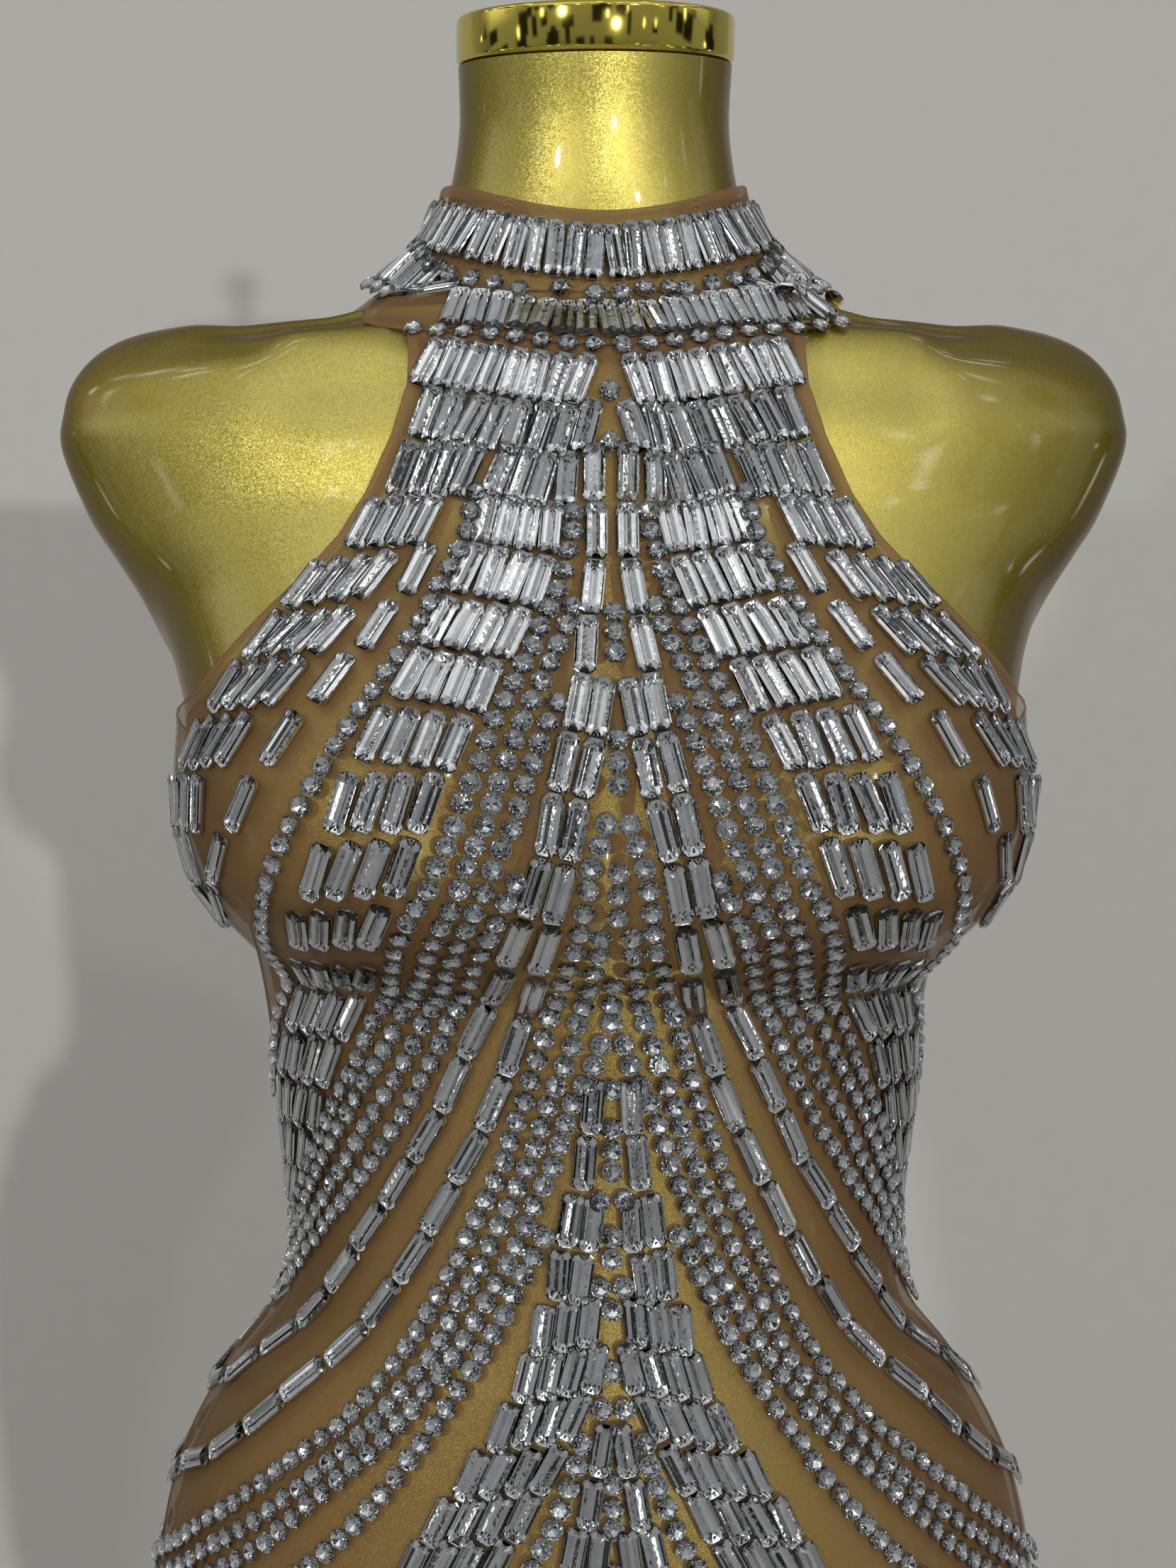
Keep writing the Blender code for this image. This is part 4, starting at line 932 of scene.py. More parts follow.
@dataclass
class DressCloth:
    """Front, back and collar of sheer net, stretched over the form."""

    shape: BodyShape
    hem: float = -0.530
    gap: float = 0.0022
    wall: float = 0.0015
    outer_lift: float = 0.0034
    thickness: float = 0.0006
    seam: float = 0.0006
    underarm: float = 0.0170
    side_angle: float = 90.0
    seam_angle: float = 0.12
    bent_from: float = 0.120
    collar_top_front: float = 0.2030
    collar_top_side: float = 0.2215
    collar_top_turn: float = 80.0
    collar_drop: float = 0.0125
    collar_overlap: float = 15.0
    lap_rise: float = 2.2
    stone: float = 0.0028
    fit: float = 0.0004
    fold_width: float = 0.0048
    fold_fade: float = 0.001
    fold_cover: float = 0.70

    def __post_init__(self) -> None:
        """Lists the armhole's edge as distance along the surface and degrees round."""
        self.armhole = [(self.length_to(self.underarm), self.side_angle - self.seam_angle)]
        for distance, height in reversed(ARMHOLE):
            step = self.shape.step_at(height)
            self.armhole.append((self.shape.length_at(step),
                                 self.shape.angle_at(distance, step)))

    def length_to(self, height: float) -> float:
        """Distance along the surface to a height over the bust line."""
        return self.shape.length_at(self.shape.step_at(height))

    def half_turn(self, distance: float) -> float:
        """Degrees from the middle of the front to its edge, at a distance up the surface."""
        low, limit = self.armhole[0]
        return between(self.armhole, distance) if distance > low else limit

    def collar_foot(self, angle: float) -> float:
        """Distance along the surface to the collar's lower edge."""
        side = from_front(angle)
        middle = self.shape.step_at(between(COLLAR_LOW_ROW, side))
        return self.shape.length_at(self.shape.up_surface(side, middle, -self.collar_drop))

    def collar_top(self, angle: float) -> float:
        """Distance along the surface to the collar's upper edge."""
        share = eased(from_front(angle) / self.collar_top_turn)
        return self.length_to(self.collar_top_front
                              + (self.collar_top_side - self.collar_top_front) * share)

    def collar_lift(self, angle: float) -> float:
        """Lift of the collar's inner side, raised where its end lies over the other."""
        end = 180.0 + self.collar_overlap / 2
        start = end - self.lap_rise * self.collar_overlap
        over = eased((angle - start) / self.collar_overlap)
        return self.gap + over * (self.wall + self.stone + self.fit)

    def front_place(self, across: float, upward: float) -> tuple[float, float]:
        """Degrees round and surface distance of a place on the front.

        Args:
            across: From -1 at the left edge to 1 at the right.
            upward: From 0 at the hem to 1 at the collar.

        Returns:
            Degrees round and distance along the surface.
        """
        low, top = self.length_to(self.hem), self.armhole[-1][0]
        bent = self.length_to(self.bent_from)
        distance = low + (top - low) * upward
        angle = across * self.half_turn(distance)
        if distance > bent:
            share = (distance - bent) / (top - bent)
            distance = bent + (self.collar_foot(angle) - self.seam - bent) * share
        return angle, distance

    def back_place(self, across: float, upward: float) -> tuple[float, float]:
        """Degrees round and surface distance of a place on the back, as for the front."""
        low = self.length_to(self.hem)
        angle = 180.0 + across * (180.0 - self.side_angle - self.seam_angle)
        top = self.length_to(between(BACK_EDGE, min(angle, 360.0 - angle)))
        return angle, low + (top - low) * upward

    def collar_place(self, across: float, upward: float) -> tuple[float, float]:
        """Degrees round and surface distance of a place on the collar."""
        angle = across * (180.0 + self.collar_overlap / 2)
        foot, top = self.collar_foot(angle), self.collar_top(angle)
        return angle, foot + (top - foot) * upward

    def panel(self, cut: Cut, place: Callable, lift: Callable, stones: list) -> None:
        """Builds one cut piece as a thin closed shell.

        Args:
            cut: The piece.
            place: Function from shares across and upward to a place on the surface.
            lift: Function from degrees round to the outer side's lift.
            stones: Pieces sewn on it; not used.
        """
        grid = []
        for row in range(cut.rows + 1):
            places = [place(2 * column / cut.columns - 1, row / cut.rows)
                      for column in range(cut.columns + 1)]
            grid.append([self.shape.lifted_point(angle, self.shape.step_at_length(distance),
                                                 lift(angle)) for angle, distance in places])
        rows = [distances(line) for line in grid]
        columns = [distances(line) for line in zip(*grid)]
        corners, folds = [], []
        for run, line in zip(rows, zip(*columns)):
            for column, height in enumerate(line):
                corners.append((run[column] - run[cut.columns // 2], height))
                edge = min(run[column], run[-1] - run[column], height,
                           columns[column][-1] - height)
                folds.append(self.fold_cover * (1 - eased((edge - self.fold_width
                                                           + self.fold_fade) / self.fold_fade)))
        thing = new_piece(cut.name, sum(grid, []), grid_faces(cut.rows, cut.columns),
                          (PowerMesh(),))
        add_map(thing, "cut", corners)
        add_values(thing, "fold", "FLOAT", "POINT", folds)
        solid = thing.modifiers.new("thickness", "SOLIDIFY")
        solid.thickness = self.thickness
        solid.offset = -1.0
        apply_modifiers(thing)
        place_piece(thing, Finish.POWER_MESH, cut.node)
        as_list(stones)

    def build(self, form: Thing, front: list, back: list, collar: list) -> None:
        """Front, back and collar, which the stones lie on.

        Args:
            form: What carries them; not used.
            front: The front's stones.
            back: The back's stones.
            collar: The collar's stones.
        """
        outer = self.outer_lift
        self.panel(FRONT, self.front_place, lambda angle: outer, front)
        self.panel(BACK, self.back_place, lambda angle: outer, back)
        self.panel(COLLAR, self.collar_place,
                   lambda angle: self.collar_lift(angle) + outer - self.gap, collar)


def stone_object(name: str, points: list, made: list) -> Thing:
    """Pattern stone of faces, each with its part: 0 glass, 1 foil and 2 hole."""
    thing = new_piece(name, points, [face for face, _ in made], smooth=False)
    add_values(thing, "stone_part", "INT", "FACE", [part for _, part in made])
    return thing


@dataclass
class Baguette:
    """Long step-cut stone over ridged foil, with a dark disc of painted shade for the sewing hole
    in each end facet.

    Its two ends are the same, turned half round.
    """

    length: float = 0.0206
    width: float = 0.0076
    height: float = 0.0026
    corner: float = 0.0016
    wall: tuple = (0.0007, 0.0017)
    ridges: tuple = ((0.0026, 0.00030), (0.0013, 0.00050), (0.0, 0.00012), (-0.0013, 0.00050),
                     (-0.0026, 0.00030))
    rise: float = 0.0040
    table: float = 0.56
    table_inset: float = 0.0025
    peak_inset: float = 0.0043
    edge: float = 0.0017
    edge_inset: float = 0.0004
    edge_level: float = 0.74
    hole: float = 0.00052
    hole_sides: int = 6
    hole_inset: float = 0.0021
    hole_level: float = 1.006

    def both_ends(self, points: list, end: list) -> tuple:
        """Adds an end's points and the other end's.

        Args:
            points: The stone's points so far.
            end: Distance across, along and up of the end's points.

        Returns:
            The two ends' point numbers, and the same with the ends swapped.
        """
        first, count = len(points), len(end)
        for sign in (1, -1):
            points += [Vector((sign * across, sign * along, level))
                       for across, along, level in end]
        here = list(range(first, first + count))
        there = list(range(first + count, first + 2 * count))
        return (here, there), (there, here)

    def foil(self, rim: list, here: list, there: list) -> list:
        """Faces of one half of the ridged foil."""
        count = len(here)
        half = count // 2
        faces = [(rim[0], there[-1], here[0], rim[1]), (rim[1], here[0], rim[2]),
                 (rim[3], here[-1], rim[4]), (rim[2], here[half], rim[3])]
        faces += [(rim[2 if index < half else 3], here[index], here[index + 1])
                  for index in range(count - 1)]
        return faces + [(there[-1 - index], there[-2 - index], here[index + 1], here[index])
                        for index in range(half)]

    def crown(self, rim: list, here: list, there: list) -> list:
        """Faces of one half of the cut top."""
        right, left, peak, edge_right, edge_left = here
        far_right, far_peak = there[1:3]
        return [(far_peak, far_right, right, peak), (rim[0], rim[1], right, far_right),
                (peak, edge_right, edge_left), (peak, right, edge_right),
                (right, rim[1], edge_right), (rim[1], rim[2], edge_right),
                (edge_right, rim[2], rim[3], edge_left), (rim[3], rim[4], edge_left),
                (rim[4], left, edge_left), (left, peak, edge_left)]

    def hole_ring(self) -> list:
        """Points of an end's sewing hole, just over its sloping facet."""
        tip, slope = self.length / 2, self.peak_inset - self.edge_inset
        ring = []
        for index in range(self.hole_sides):
            turn = math.tau * index / self.hole_sides
            away = tip - self.hole_inset + self.hole * math.sin(turn)
            fall = (away - tip + self.peak_inset) / slope * (1 - self.edge_level)
            ring.append((self.hole * math.cos(turn), away,
                         self.height * (self.hole_level - fall)))
        return ring

    def build(self) -> Thing:
        """The stone, lying along Y with its foot on z = 0."""
        wide, tip, points = self.width / 2, self.length / 2, []
        low, high = (self.both_ends(points, [
            (wide, self.corner - tip, level), (wide, tip - self.corner, level),
            (wide - self.corner, tip, level), (self.corner - wide, tip, level)])
            for level in self.wall)
        foil = self.both_ends(points, [(across, tip - self.rise, level)
                                       for across, level in self.ridges])
        table, top = wide * self.table, self.height
        crown = self.both_ends(points, [
            (table, tip - self.table_inset, top), (-table, tip - self.table_inset, top),
            (0, tip - self.peak_inset, top),
            (self.edge, tip - self.edge_inset, top * self.edge_level),
            (-self.edge, tip - self.edge_inset, top * self.edge_level)])
        holes = self.both_ends(points, self.hole_ring())
        made = []
        for end in (0, 1):
            foot, rim = sum(low[end], []), sum(high[end], [])
            walls = [(foot[side], foot[side + 1], rim[side + 1], rim[side]) for side in range(4)]
            for part, faces in ((0, self.crown(rim, *crown[end])),
                                (1, self.foil(foot, *foil[end]) + walls),
                                (2, [tuple(holes[end][0])])):
                made += [(face, part) for face in faces]
        return stone_object("baguette", points, made)


@dataclass
class RoundStone:
    """Round brilliant with foil under it, each ring a spread and a level."""

    width: float = 0.0073
    height: float = 0.0028
    sides: int = 8
    point: float = 0.00012
    girdle: tuple = ((1.0, 0.46), (1.0, 0.54))
    middle: tuple = (0.80, 0.83)
    table: tuple = (0.56, 1.0)

    def ring(self, count: int, shift: float, spread: float, level: float) -> list:
        """Ring of the stone's points at a height."""
        turns = [math.tau * (index + shift) / count for index in range(count)]
        radius = self.width / 2 * spread
        return [Vector((radius * math.cos(turn), radius * math.sin(turn), self.height * level))
                for turn in turns]

    def build(self) -> Thing:
        """The stone, with its foot on z = 0."""
        sides, count = self.sides, 2 * self.sides
        points = [Vector((0, 0, self.point))]
        for ring in self.girdle:
            points += self.ring(count, 0, *ring)
        points += self.ring(sides, 0.5, *self.middle) + self.ring(sides, 0, *self.table)
        low, high, middle, table = 1, 1 + count, 1 + 2 * count, 1 + 2 * count + sides
        made = [(tuple(range(table, table + sides)), 0)]
        for index in range(sides):
            start, half, end = 2 * index, 2 * index + 1, (2 * index + 2) % count
            here, after, before = table + index, (index + 1) % sides, (index - 1) % sides
            glass = [(here, middle + before, high + start), (here, high + start, middle + index),
                     (here, middle + index, table + after),
                     (middle + index, high + start, high + half),
                     (middle + index, high + half, high + end)]
            foil = [(0, low + end, low + start), (low + start, low + end, low + half),
                    (low + start, low + half, high + half, high + start),
                    (low + half, low + end, high + end, high + half)]
            made += [(face, 0) for face in glass] + [(face, 1) for face in foil]
        return stone_object("round_stone", points, made)


@dataclass
class StoneSetter:
    """Sets a pattern stone on every spot of a list, with Geometry Nodes."""

    tilt: float
    seed: int = 7
    inputs: ClassVar[dict] = {"Geometry": "Geometry", "Stone": "Object", "Tilt": "Float",
                              "Seed": "Int", "Glass": "Material", "Foil": "Material",
                              "Hole": "Material"}

    def fill(self, graph: Graph, given: Sockets) -> dict:
        """Sets the stones, a little out of true, and gives each face its material."""
        turn, stretch, part = (
            graph.add("GeometryNodeInputNamedAttribute", {"Name": name},
                      data_type=kind).outputs["Attribute"]
            for name, kind in (("turn", "FLOAT_VECTOR"), ("stretch", "FLOAT_VECTOR"),
                               ("stone_part", "INT")))
        stone = graph.add("GeometryNodeObjectInfo", {"Object": given["Stone"]})
        spread = graph.add("FunctionNodeRandomValue", data_type="FLOAT_VECTOR")
        graph.feed(spread, {"Min": graph.math("MULTIPLY", given["Tilt"], -1.0),
                            "Max": given["Tilt"], "Seed": given["Seed"]})
        rotation, wobble = (
            graph.add("FunctionNodeEulerToRotation", {"Euler": euler}).outputs["Rotation"]
            for euler in (turn, spread.outputs["Value"]))
        both = graph.add("FunctionNodeRotateRotation",
                         {"Rotation": rotation, "Rotate By": wobble}, rotation_space="LOCAL")
        setting = graph.add("GeometryNodeInstanceOnPoints", {
            "Points": given["Geometry"], "Instance": stone.outputs["Geometry"],
            "Rotation": both.outputs["Rotation"], "Scale": stretch})
        last = graph.add("GeometryNodeRealizeInstances",
                         {"Geometry": setting.outputs["Instances"]}).outputs["Geometry"]
        for number, name in enumerate(("Glass", "Foil", "Hole")):
            same = graph.add("FunctionNodeCompare", {"A": part, "B": number}, data_type="INT",
                             operation="EQUAL")
            last = graph.add("GeometryNodeSetMaterial", {
                "Geometry": last, "Selection": same.outputs["Result"],
                "Material": given[name]}).outputs["Geometry"]
        return {"Geometry": last}

    def build(self, name: str, spots: list, stone: Thing) -> Thing:
        """Piece of all the stones at a list of spots.

        Args:
            name: Name of the piece.
            spots: Where the stones sit.
            stone: The pattern stone.

        Returns:
            The finished piece.
        """
        turns = []
        for spot in spots:
            side = spot.along.cross(spot.normal).normalized()
            stance = Matrix((side, spot.normal.cross(side), spot.normal)).transposed()
            turns.append(stance.to_euler())
        thing = new_piece(name, [spot.point for spot in spots], [], smooth=False)
        add_values(thing, "turn", "FLOAT_VECTOR", "POINT", turns)
        add_values(thing, "stretch", "FLOAT_VECTOR", "POINT",
                   [(spot.width, spot.stretch, 1.0) for spot in spots])
        modifier = thing.modifiers.new("setting", "NODES")
        modifier.node_group = group_tree("set_stones", self.inputs, {"Geometry": "Geometry"},
                                         self.fill, "GeometryNodeTree")
        values = {"Stone": stone, "Tilt": self.tilt, "Seed": self.seed,
                  "Glass": CutGlass().material(), "Foil": SilverFoil().material(),
                  "Hole": SEW_HOLE.material()}
        for item in modifier.node_group.interface.items_tree:
            if item.in_out == "INPUT" and item.name in values:
                modifier[item.identifier] = values[item.name]
        apply_modifiers(thing)
        place_piece(thing, Finish.CRYSTAL)
        return thing


@dataclass
class StonePattern:
    """Where every stone of the dress sits.

    A place is degrees round, height over the bust line, degrees that the stone's top leans
    towards the middle line, and how far it is stretched along.
    """

    shape: BodyShape
    cloth: DressCloth
    lift: float = 0.0035
    stone_length: float = 0.0206
    stone_pitch: float = 0.0208
    round_pitch: float = 0.0074
    edge_room: float = 0.0042
    hem_room: float = 0.010
    back_room: float = 0.012
    own_lean: float = 0.85
    shortest: float = 0.84
    pitch_room: float = 1.01
    chest_stretch: float = 0.96
    middle_onwards: tuple = (14, 2.9, 0.0158)
    inner_onwards: tuple = (13, 2.1, 0.0165)
    reach: float = 0.0085
    collar_start: float = -152.0
    collar_end: float = 2.0
    tiny: float = 1e-9

    def point(self, angle: float, height: float) -> Vector:
        """Point on the cloth."""
        return self.shape.lifted_point(angle, self.shape.step_at(height), self.lift)

    def spot(self, angle: float, height: float, lean: float, stretch: float = 1.0) -> Spot:
        """Spot of a stone whose top leans towards the nearest middle line."""
        step = self.shape.step_at(height)
        across, normal = self.shape.directions(angle, step)
        side = across.normalized()
        outward = math.copysign(1.0, math.sin(math.radians(2 * angle)))
        turn = math.radians(lean)
        along = normal.cross(side) * math.cos(turn) - side * outward * math.sin(turn)
        return Spot(self.shape.skin_point(angle, step) + normal * self.lift, along, normal,
                    stretch)

    def lean_of(self, angle: float, height: float, along: Vector) -> float:
        """Degrees that a direction leans towards the middle at a place."""
        across, normal = self.shape.directions(angle, self.shape.step_at(height))
        side = across.normalized()
        return math.degrees(math.atan2(-along.dot(side), along.dot(normal.cross(side))))

    def band(self, rows: tuple) -> list:
        """Places of a band of baguettes that lie side by side in rows.

        Args:
            rows: First and last stone of each row, how many there are, and their lean if it
                isn't the band's own.

        Returns:
            The stones' places.
        """
        made = []
        middles = [((row[0] + row[2]) / 2, (row[1] + row[3]) / 2) for row in rows]
        points = [self.point(*middle) for middle in middles]
        for index, row in enumerate(rows):
            before, after = max(index - 1, 0), min(index + 1, len(rows) - 1)
            if len(row) > 5:
                lean = row[5]
            else:
                way = points[before] - points[after]
                lean = self.own_lean * self.lean_of(*middles[index], way)
            pitch = min((points[index] - points[near]).length
                        for near in (index - 1, index + 1) if 0 <= near < len(rows))
            stretch = min(1.0, max(self.shortest, pitch / (self.stone_length * self.pitch_room)))
            for number in range(row[4]):
                share = number / max(row[4] - 1, 1)
                made.append((row[0] + (row[2] - row[0]) * share,
                             row[1] + (row[3] - row[1]) * share, lean, stretch))
        return made

    def line(self, line: tuple, pitch: float) -> list:
        """Evenly spaced places down a line."""
        points = [self.point(angle, height) for angle, height in line]
        travelled = distances(points)
        made = []
        for index in range(int(travelled[-1] / pitch) + 1):
            distance = index * pitch
            after = next(number for number, far in enumerate(travelled)
                         if far >= distance - self.tiny)
            before = max(after - 1, 0)
            run = max(travelled[after] - travelled[before], self.tiny)
            share = (distance - travelled[before]) / run
            angle, height = (start + (end - start) * share
                             for start, end in zip(line[before], line[after]))
            first = max(before - (share < 0.5), 0)
            last = min(max(after, 1) + (share > 0.5), len(line) - 1)
            lean = self.lean_of(angle, height, points[first] - points[last])
            made.append((angle, height, lean, 1.0))
        return made

    def onwards(self, rows: tuple, count: int, turn: float, drop: float) -> tuple:
        """Rows carried on below the last one."""
        first, first_height, last, last_height, number = rows[-1]
        return rows + tuple((first + turn * index, first_height - drop * index,
                             last + turn * index, last_height - drop * index, number)
                            for index in range(1, count + 1))

    def half_baguettes(self) -> list:
        """Places of the baguettes of one half of the front."""
        made = [(*place, self.chest_stretch) for place in CHEST_STONES]
        for rows in (ARMHOLE_ROWS, BUST_ROWS, self.onwards(MIDDLE_ROWS, *self.middle_onwards),
                     self.onwards(INNER_ROWS, *self.inner_onwards),
                     tuple(place + place + (1,) for place in GAPPED_LINE)):
            made += self.band(rows)
        return made + self.line(UPPER_LINE, self.stone_pitch) + self.line(LOWER_LINE,
                                                                          self.stone_pitch)

    def half_rounds(self) -> list:
        """Places of the rounds of one half of the front."""
        made = []
        for line in ROUND_LINES:
            made += self.line(line, self.round_pitch)
        return made + [(angle, height, 0.0, 1.0) for angle, height in LONE_ROUNDS]

    def centre_rounds(self) -> list:
        """Spots of the rounds on the front's centre line."""
        made = [(0.0, height, 0.0, 1.0) for height in CENTRE_ROUNDS]
        for high, low in CENTRE_RUNS:
            made += self.line(((0.0, high), (0.0, low)), self.round_pitch)
        return [self.spot(*place) for place in made]

    def on_panel(self, places: list, behind: bool) -> list:
        """Spots of a half's stones on both halves of a panel, clear of its edges.

        Args:
            places: The stones' places on the front.
            behind: Whether they are mirrored to the back.

        Returns:
            The spots.
        """
        made = []
        for angle, height, lean, stretch in places:
            top = height
            if behind:
                angle = 180.0 - angle
                top = between(BACK_EDGE, angle) - self.back_room
                room = angle - self.cloth.side_angle
            else:
                room = self.cloth.half_turn(self.cloth.length_to(height)) - angle
            degree = self.shape.directions(angle, self.shape.step_at(height))[0].length
            low = self.cloth.hem + self.hem_room
            if low <= height <= top and room * degree >= self.edge_room:
                made += [self.spot(side * angle, height, lean, stretch) for side in (1, -1)]
        return made

    def around(self, row: tuple, offset: float, pitch: float, width: float = 1.0) -> list:
        """Spots of an upright row round the collar, up to its lapped end.

        Args:
            row: Degrees round and height of the row's middle.
            offset: Distance up the surface from there.
            pitch: Distance from stone to stone.
            width: Width of each stone against the pattern stone's.

        Returns:
            The row's spots, square to the row.
        """
        made = []
        angle = self.collar_start
        while angle < 180.0 + self.cloth.collar_overlap / 2 - self.collar_end:
            lift = self.cloth.collar_lift(angle) + self.lift - self.cloth.gap
            middle, high, low = (self.row_point(row, angle, offset + away, lift)
                                 for away in (0.0, self.reach, -self.reach))
            way = self.row_point(row, angle + 1.0, offset, lift) - middle
            normal = way.cross(high - low).normalized()
            middle += normal * max(((high + low) / 2 - middle).dot(normal), 0.0)
            made.append(Spot(middle, normal.cross(way).normalized(), normal, 1.0, width))
            angle += pitch / way.length
        return made

    def row_point(self, row: tuple, angle: float, offset: float, lift: float) -> Vector:
        """Point at a distance up the surface from a row round the collar."""
        height = between(row, from_front(angle))
        step = self.shape.up_surface(angle, self.shape.step_at(height), offset)
        return self.shape.lifted_point(angle, step, lift)

    def collar_baguettes(self) -> list:
        """Spots of the collar's two rows of baguettes."""
        return (self.around(COLLAR_LOW_ROW, offset=0.0, pitch=0.0077)
                + self.around(COLLAR_HIGH_ROW, offset=0.0, pitch=0.0069, width=0.90))

    def collar_rounds(self) -> list:
        """Spots of the rounds between those rows and below the lower one."""
        return (self.around(COLLAR_ROUNDS, offset=0.0, pitch=0.0091)
                + self.around(COLLAR_LOW_ROW, offset=-0.0136, pitch=0.0092))


@dataclass(frozen=True)
class Card:
    """A soft-edged reflector card that faces the dress."""

    azimuth: float
    elevation: float
    distance: float
    width: float
    height: float
    level: float


@dataclass(frozen=True)
class CardCloud:
    """Cards scattered all round: their number and distance, and ranges for the rest."""

    count: int
    distance: float
    elevations: tuple
    widths: tuple
    heights: tuple
    levels: tuple = ()

    def cards(self, draw: random.Random) -> list:
        """The cards, drawn one after another."""
        return [Card(draw.uniform(-180, 180), draw.uniform(*self.elevations), self.distance,
                     draw.uniform(*self.widths), draw.uniform(*self.heights),
                     draw.uniform(*self.levels) if self.levels else 0.0)
                for _ in range(self.count)]


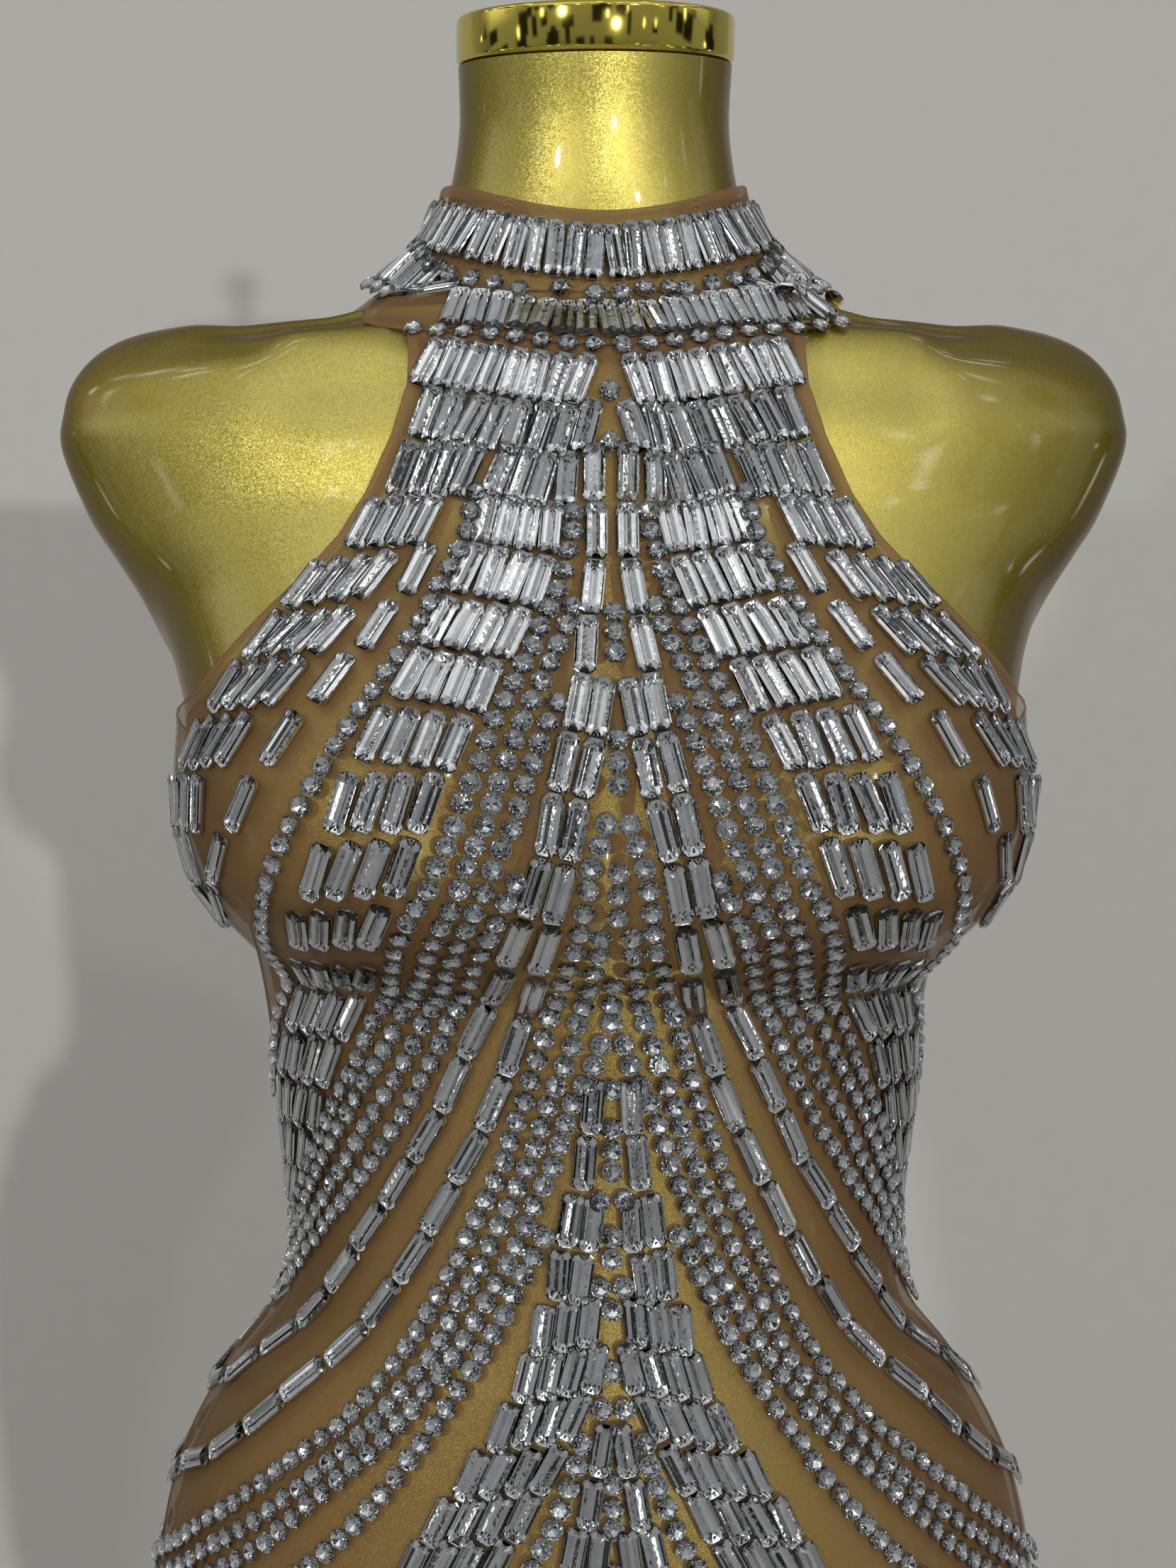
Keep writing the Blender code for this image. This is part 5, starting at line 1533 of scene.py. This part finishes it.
@dataclass
class Studio:
    """Camera, lights, cards, wall and floor."""

    camera_place: tuple = (-0.059, -0.828, 1.205)
    lens: float = 50.4
    sensor: float = 36.0
    shift: float = 0.0968
    near_clip: float = 0.02
    floor_level: float = -0.0005
    floor_reach: float = 6.0
    wall_distance: float = 0.90
    wall_top: float = 5.0
    aim: tuple = (0.0, 0.0, 1.15)
    lamp_size: float = 0.09
    lamp_colour: tuple = (1.0, 0.98, 0.95)
    spot_radius: float = 0.06
    spot_angle: float = 28.0
    spot_blend: float = 0.3
    sky_low: tuple = (0.15, (0.16, 0.16, 0.155, 1))
    sky_high: tuple = (0.85, (0.44, 0.44, 0.44, 1))
    seed: int = 11
    bright_cloud: CardCloud = CardCloud(110, 2.9, (-28, 62), (0.08, 0.24), (0.15, 0.55),
                                        (2.0, 6.5))
    dark_cloud: CardCloud = CardCloud(110, 3.0, (-28, 40), (0.2, 0.6), (0.3, 0.9))
    soft_cards: tuple = (
        Card(-30, 48, 2.6, 3.0, 1.7, 1.25), Card(34, 46, 2.6, 2.8, 1.6, 1.1),
        Card(150, 46, 2.6, 2.6, 1.6, 1.3), Card(-150, 46, 2.6, 2.6, 1.6, 1.3),
        Card(-88, 27, 2.6, 2.0, 1.3, 1.2), Card(88, 27, 2.6, 1.6, 1.1, 0.7))

    def build(self) -> None:
        """Sets up the camera, the lights and what stands round the object."""
        camera = link("camera", bpy.data.cameras.new("camera"))
        camera.location = self.camera_place
        camera.rotation_euler = (math.radians(90), 0, 0)
        camera.data.lens = self.lens
        camera.data.sensor_width = self.sensor
        camera.data.shift_x = self.shift
        camera.data.clip_start = self.near_clip
        bpy.context.scene.camera = camera
        bpy.context.scene.view_settings.view_transform = "Standard"
        self.add_stage()
        self.add_world()
        draw = random.Random(self.seed)
        self.add_cards("soft_cards", self.soft_cards, LIT_CARD)
        for name, cloud, look in (("bright_cards", self.bright_cloud, LIT_CARD),
                                  ("dark_cards", self.dark_cloud, DARK_CARD)):
            thing = self.add_cards(name, cloud.cards(draw), look)
            thing.visible_diffuse = False
            thing.visible_shadow = False
        for name, place, power in (("lamp_left", (-1.25, -2.2, 1.70), 13.0),
                                   ("lamp_right", (1.15, -2.2, 2.2), 7.5)):
            light = self.add_light(name, "AREA", place, power)
            light.shape = "DISK"
            light.size = self.lamp_size
        light = self.add_light("side_lamp", "SPOT", (1.15, -5.0, 1.10), 320.0)
        light.shadow_soft_size = self.spot_radius
        light.spot_size = math.radians(self.spot_angle)
        light.spot_blend = self.spot_blend

    def add_cards(self, name: str, cards: tuple, look: CardLight) -> Thing:
        """Adds cards that reflections show and the camera doesn't."""
        points, faces, corners, levels = [], [], [], []
        for card in cards:
            turn, rise = math.radians(card.azimuth), math.radians(card.elevation)
            back = Vector((math.sin(turn) * math.cos(rise), -math.cos(turn) * math.cos(rise),
                           math.sin(rise)))
            side = Vector((math.cos(turn), math.sin(turn), 0))
            up = back.cross(side)
            first = len(points)
            for across, upward in ((-1, -1), (1, -1), (1, 1), (-1, 1)):
                points.append(Vector(self.aim) + back * card.distance
                              + side * (across * card.width / 2)
                              + up * (upward * card.height / 2))
                corners.append((across, upward))
                levels.append(card.level)
            faces.append((first + 3, first + 2, first + 1, first))
        thing = new_piece(name, points, faces, (look,), smooth=False)
        add_map(thing, "card", corners)
        add_values(thing, "level", "FLOAT", "POINT", levels)
        thing.visible_camera = False
        return thing

    def add_light(self, name: str, kind: str, place: tuple, power: float) -> bpy.types.Light:
        """Adds a lamp that points at the dress."""
        data = bpy.data.lights.new(name, kind)
        data.energy = power
        data.color = self.lamp_colour
        light = link(name, data)
        light.location = place
        way = Vector(self.aim) - Vector(place)
        light.rotation_euler = way.to_track_quat("-Z", "Y").to_euler()
        return data

    def add_stage(self) -> None:
        """Adds the pale floor, and the wall that shows only from its front."""
        far, wall, low, top = self.floor_reach, self.wall_distance, self.floor_level, self.wall_top
        points = [(-far, -far, low), (far, -far, low), (far, far, low), (-far, far, low),
                  (-far, wall, low), (far, wall, low), (far, wall, top), (-far, wall, top)]
        new_piece("wall_and_floor", points, [(0, 1, 2, 3), (4, 5, 6, 7)], (PALE_WALL,),
                           smooth=False)

    def add_world(self) -> None:
        """Adds the room's even light, brighter above than below."""
        world = bpy.data.worlds.new("room")
        bpy.context.scene.world = world
        world.use_nodes = True
        graph = Graph(world.node_tree)
        graph.tree.nodes.clear()
        level = graph.ramp(graph.axes(graph.place("Generated"))["Z"], (-1.0, 1.0))
        ramp = graph.add("ShaderNodeValToRGB", {"Fac": level})
        for element, (place, colour) in zip(ramp.color_ramp.elements,
                                            (self.sky_low, self.sky_high)):
            element.position, element.color = place, colour
        sky = graph.add("ShaderNodeBackground", {"Color": ramp.outputs["Color"]})
        graph.add("ShaderNodeOutputWorld", {"Surface": sky.outputs["Background"]})


def main() -> None:
    """Builds every piece in order."""
    logging.basicConfig(level=logging.INFO, format="%(message)s")
    shape = BodyShape()
    form = FormBody(shape).build()
    TurnedPieces(shape).build()
    cloth = DressCloth(shape)
    pattern = StonePattern(shape, cloth)
    baguette, round_stone = Baguette().build(), RoundStone().build()
    baguettes, rounds = pattern.half_baguettes(), pattern.half_rounds()
    long_setter, round_setter = StoneSetter(tilt=0.06), StoneSetter(tilt=0.15)
    stones = [[long_setter.build(side + "_baguettes", long_spots, baguette),
               round_setter.build(side + "_rounds", round_spots, round_stone)]
              for side, long_spots, round_spots in (
                  ("front", pattern.on_panel(baguettes, behind=False),
                   pattern.on_panel(rounds, behind=False) + pattern.centre_rounds()),
                  ("back", pattern.on_panel(baguettes, behind=True),
                   pattern.on_panel(rounds, behind=True)),
                  ("collar", pattern.collar_baguettes(), pattern.collar_rounds()))]
    for pattern_stone in (baguette, round_stone):
        bpy.data.objects.remove(pattern_stone)
    cloth.build(form, *stones)
    Studio().build()


if __name__ == "__main__":
    main()
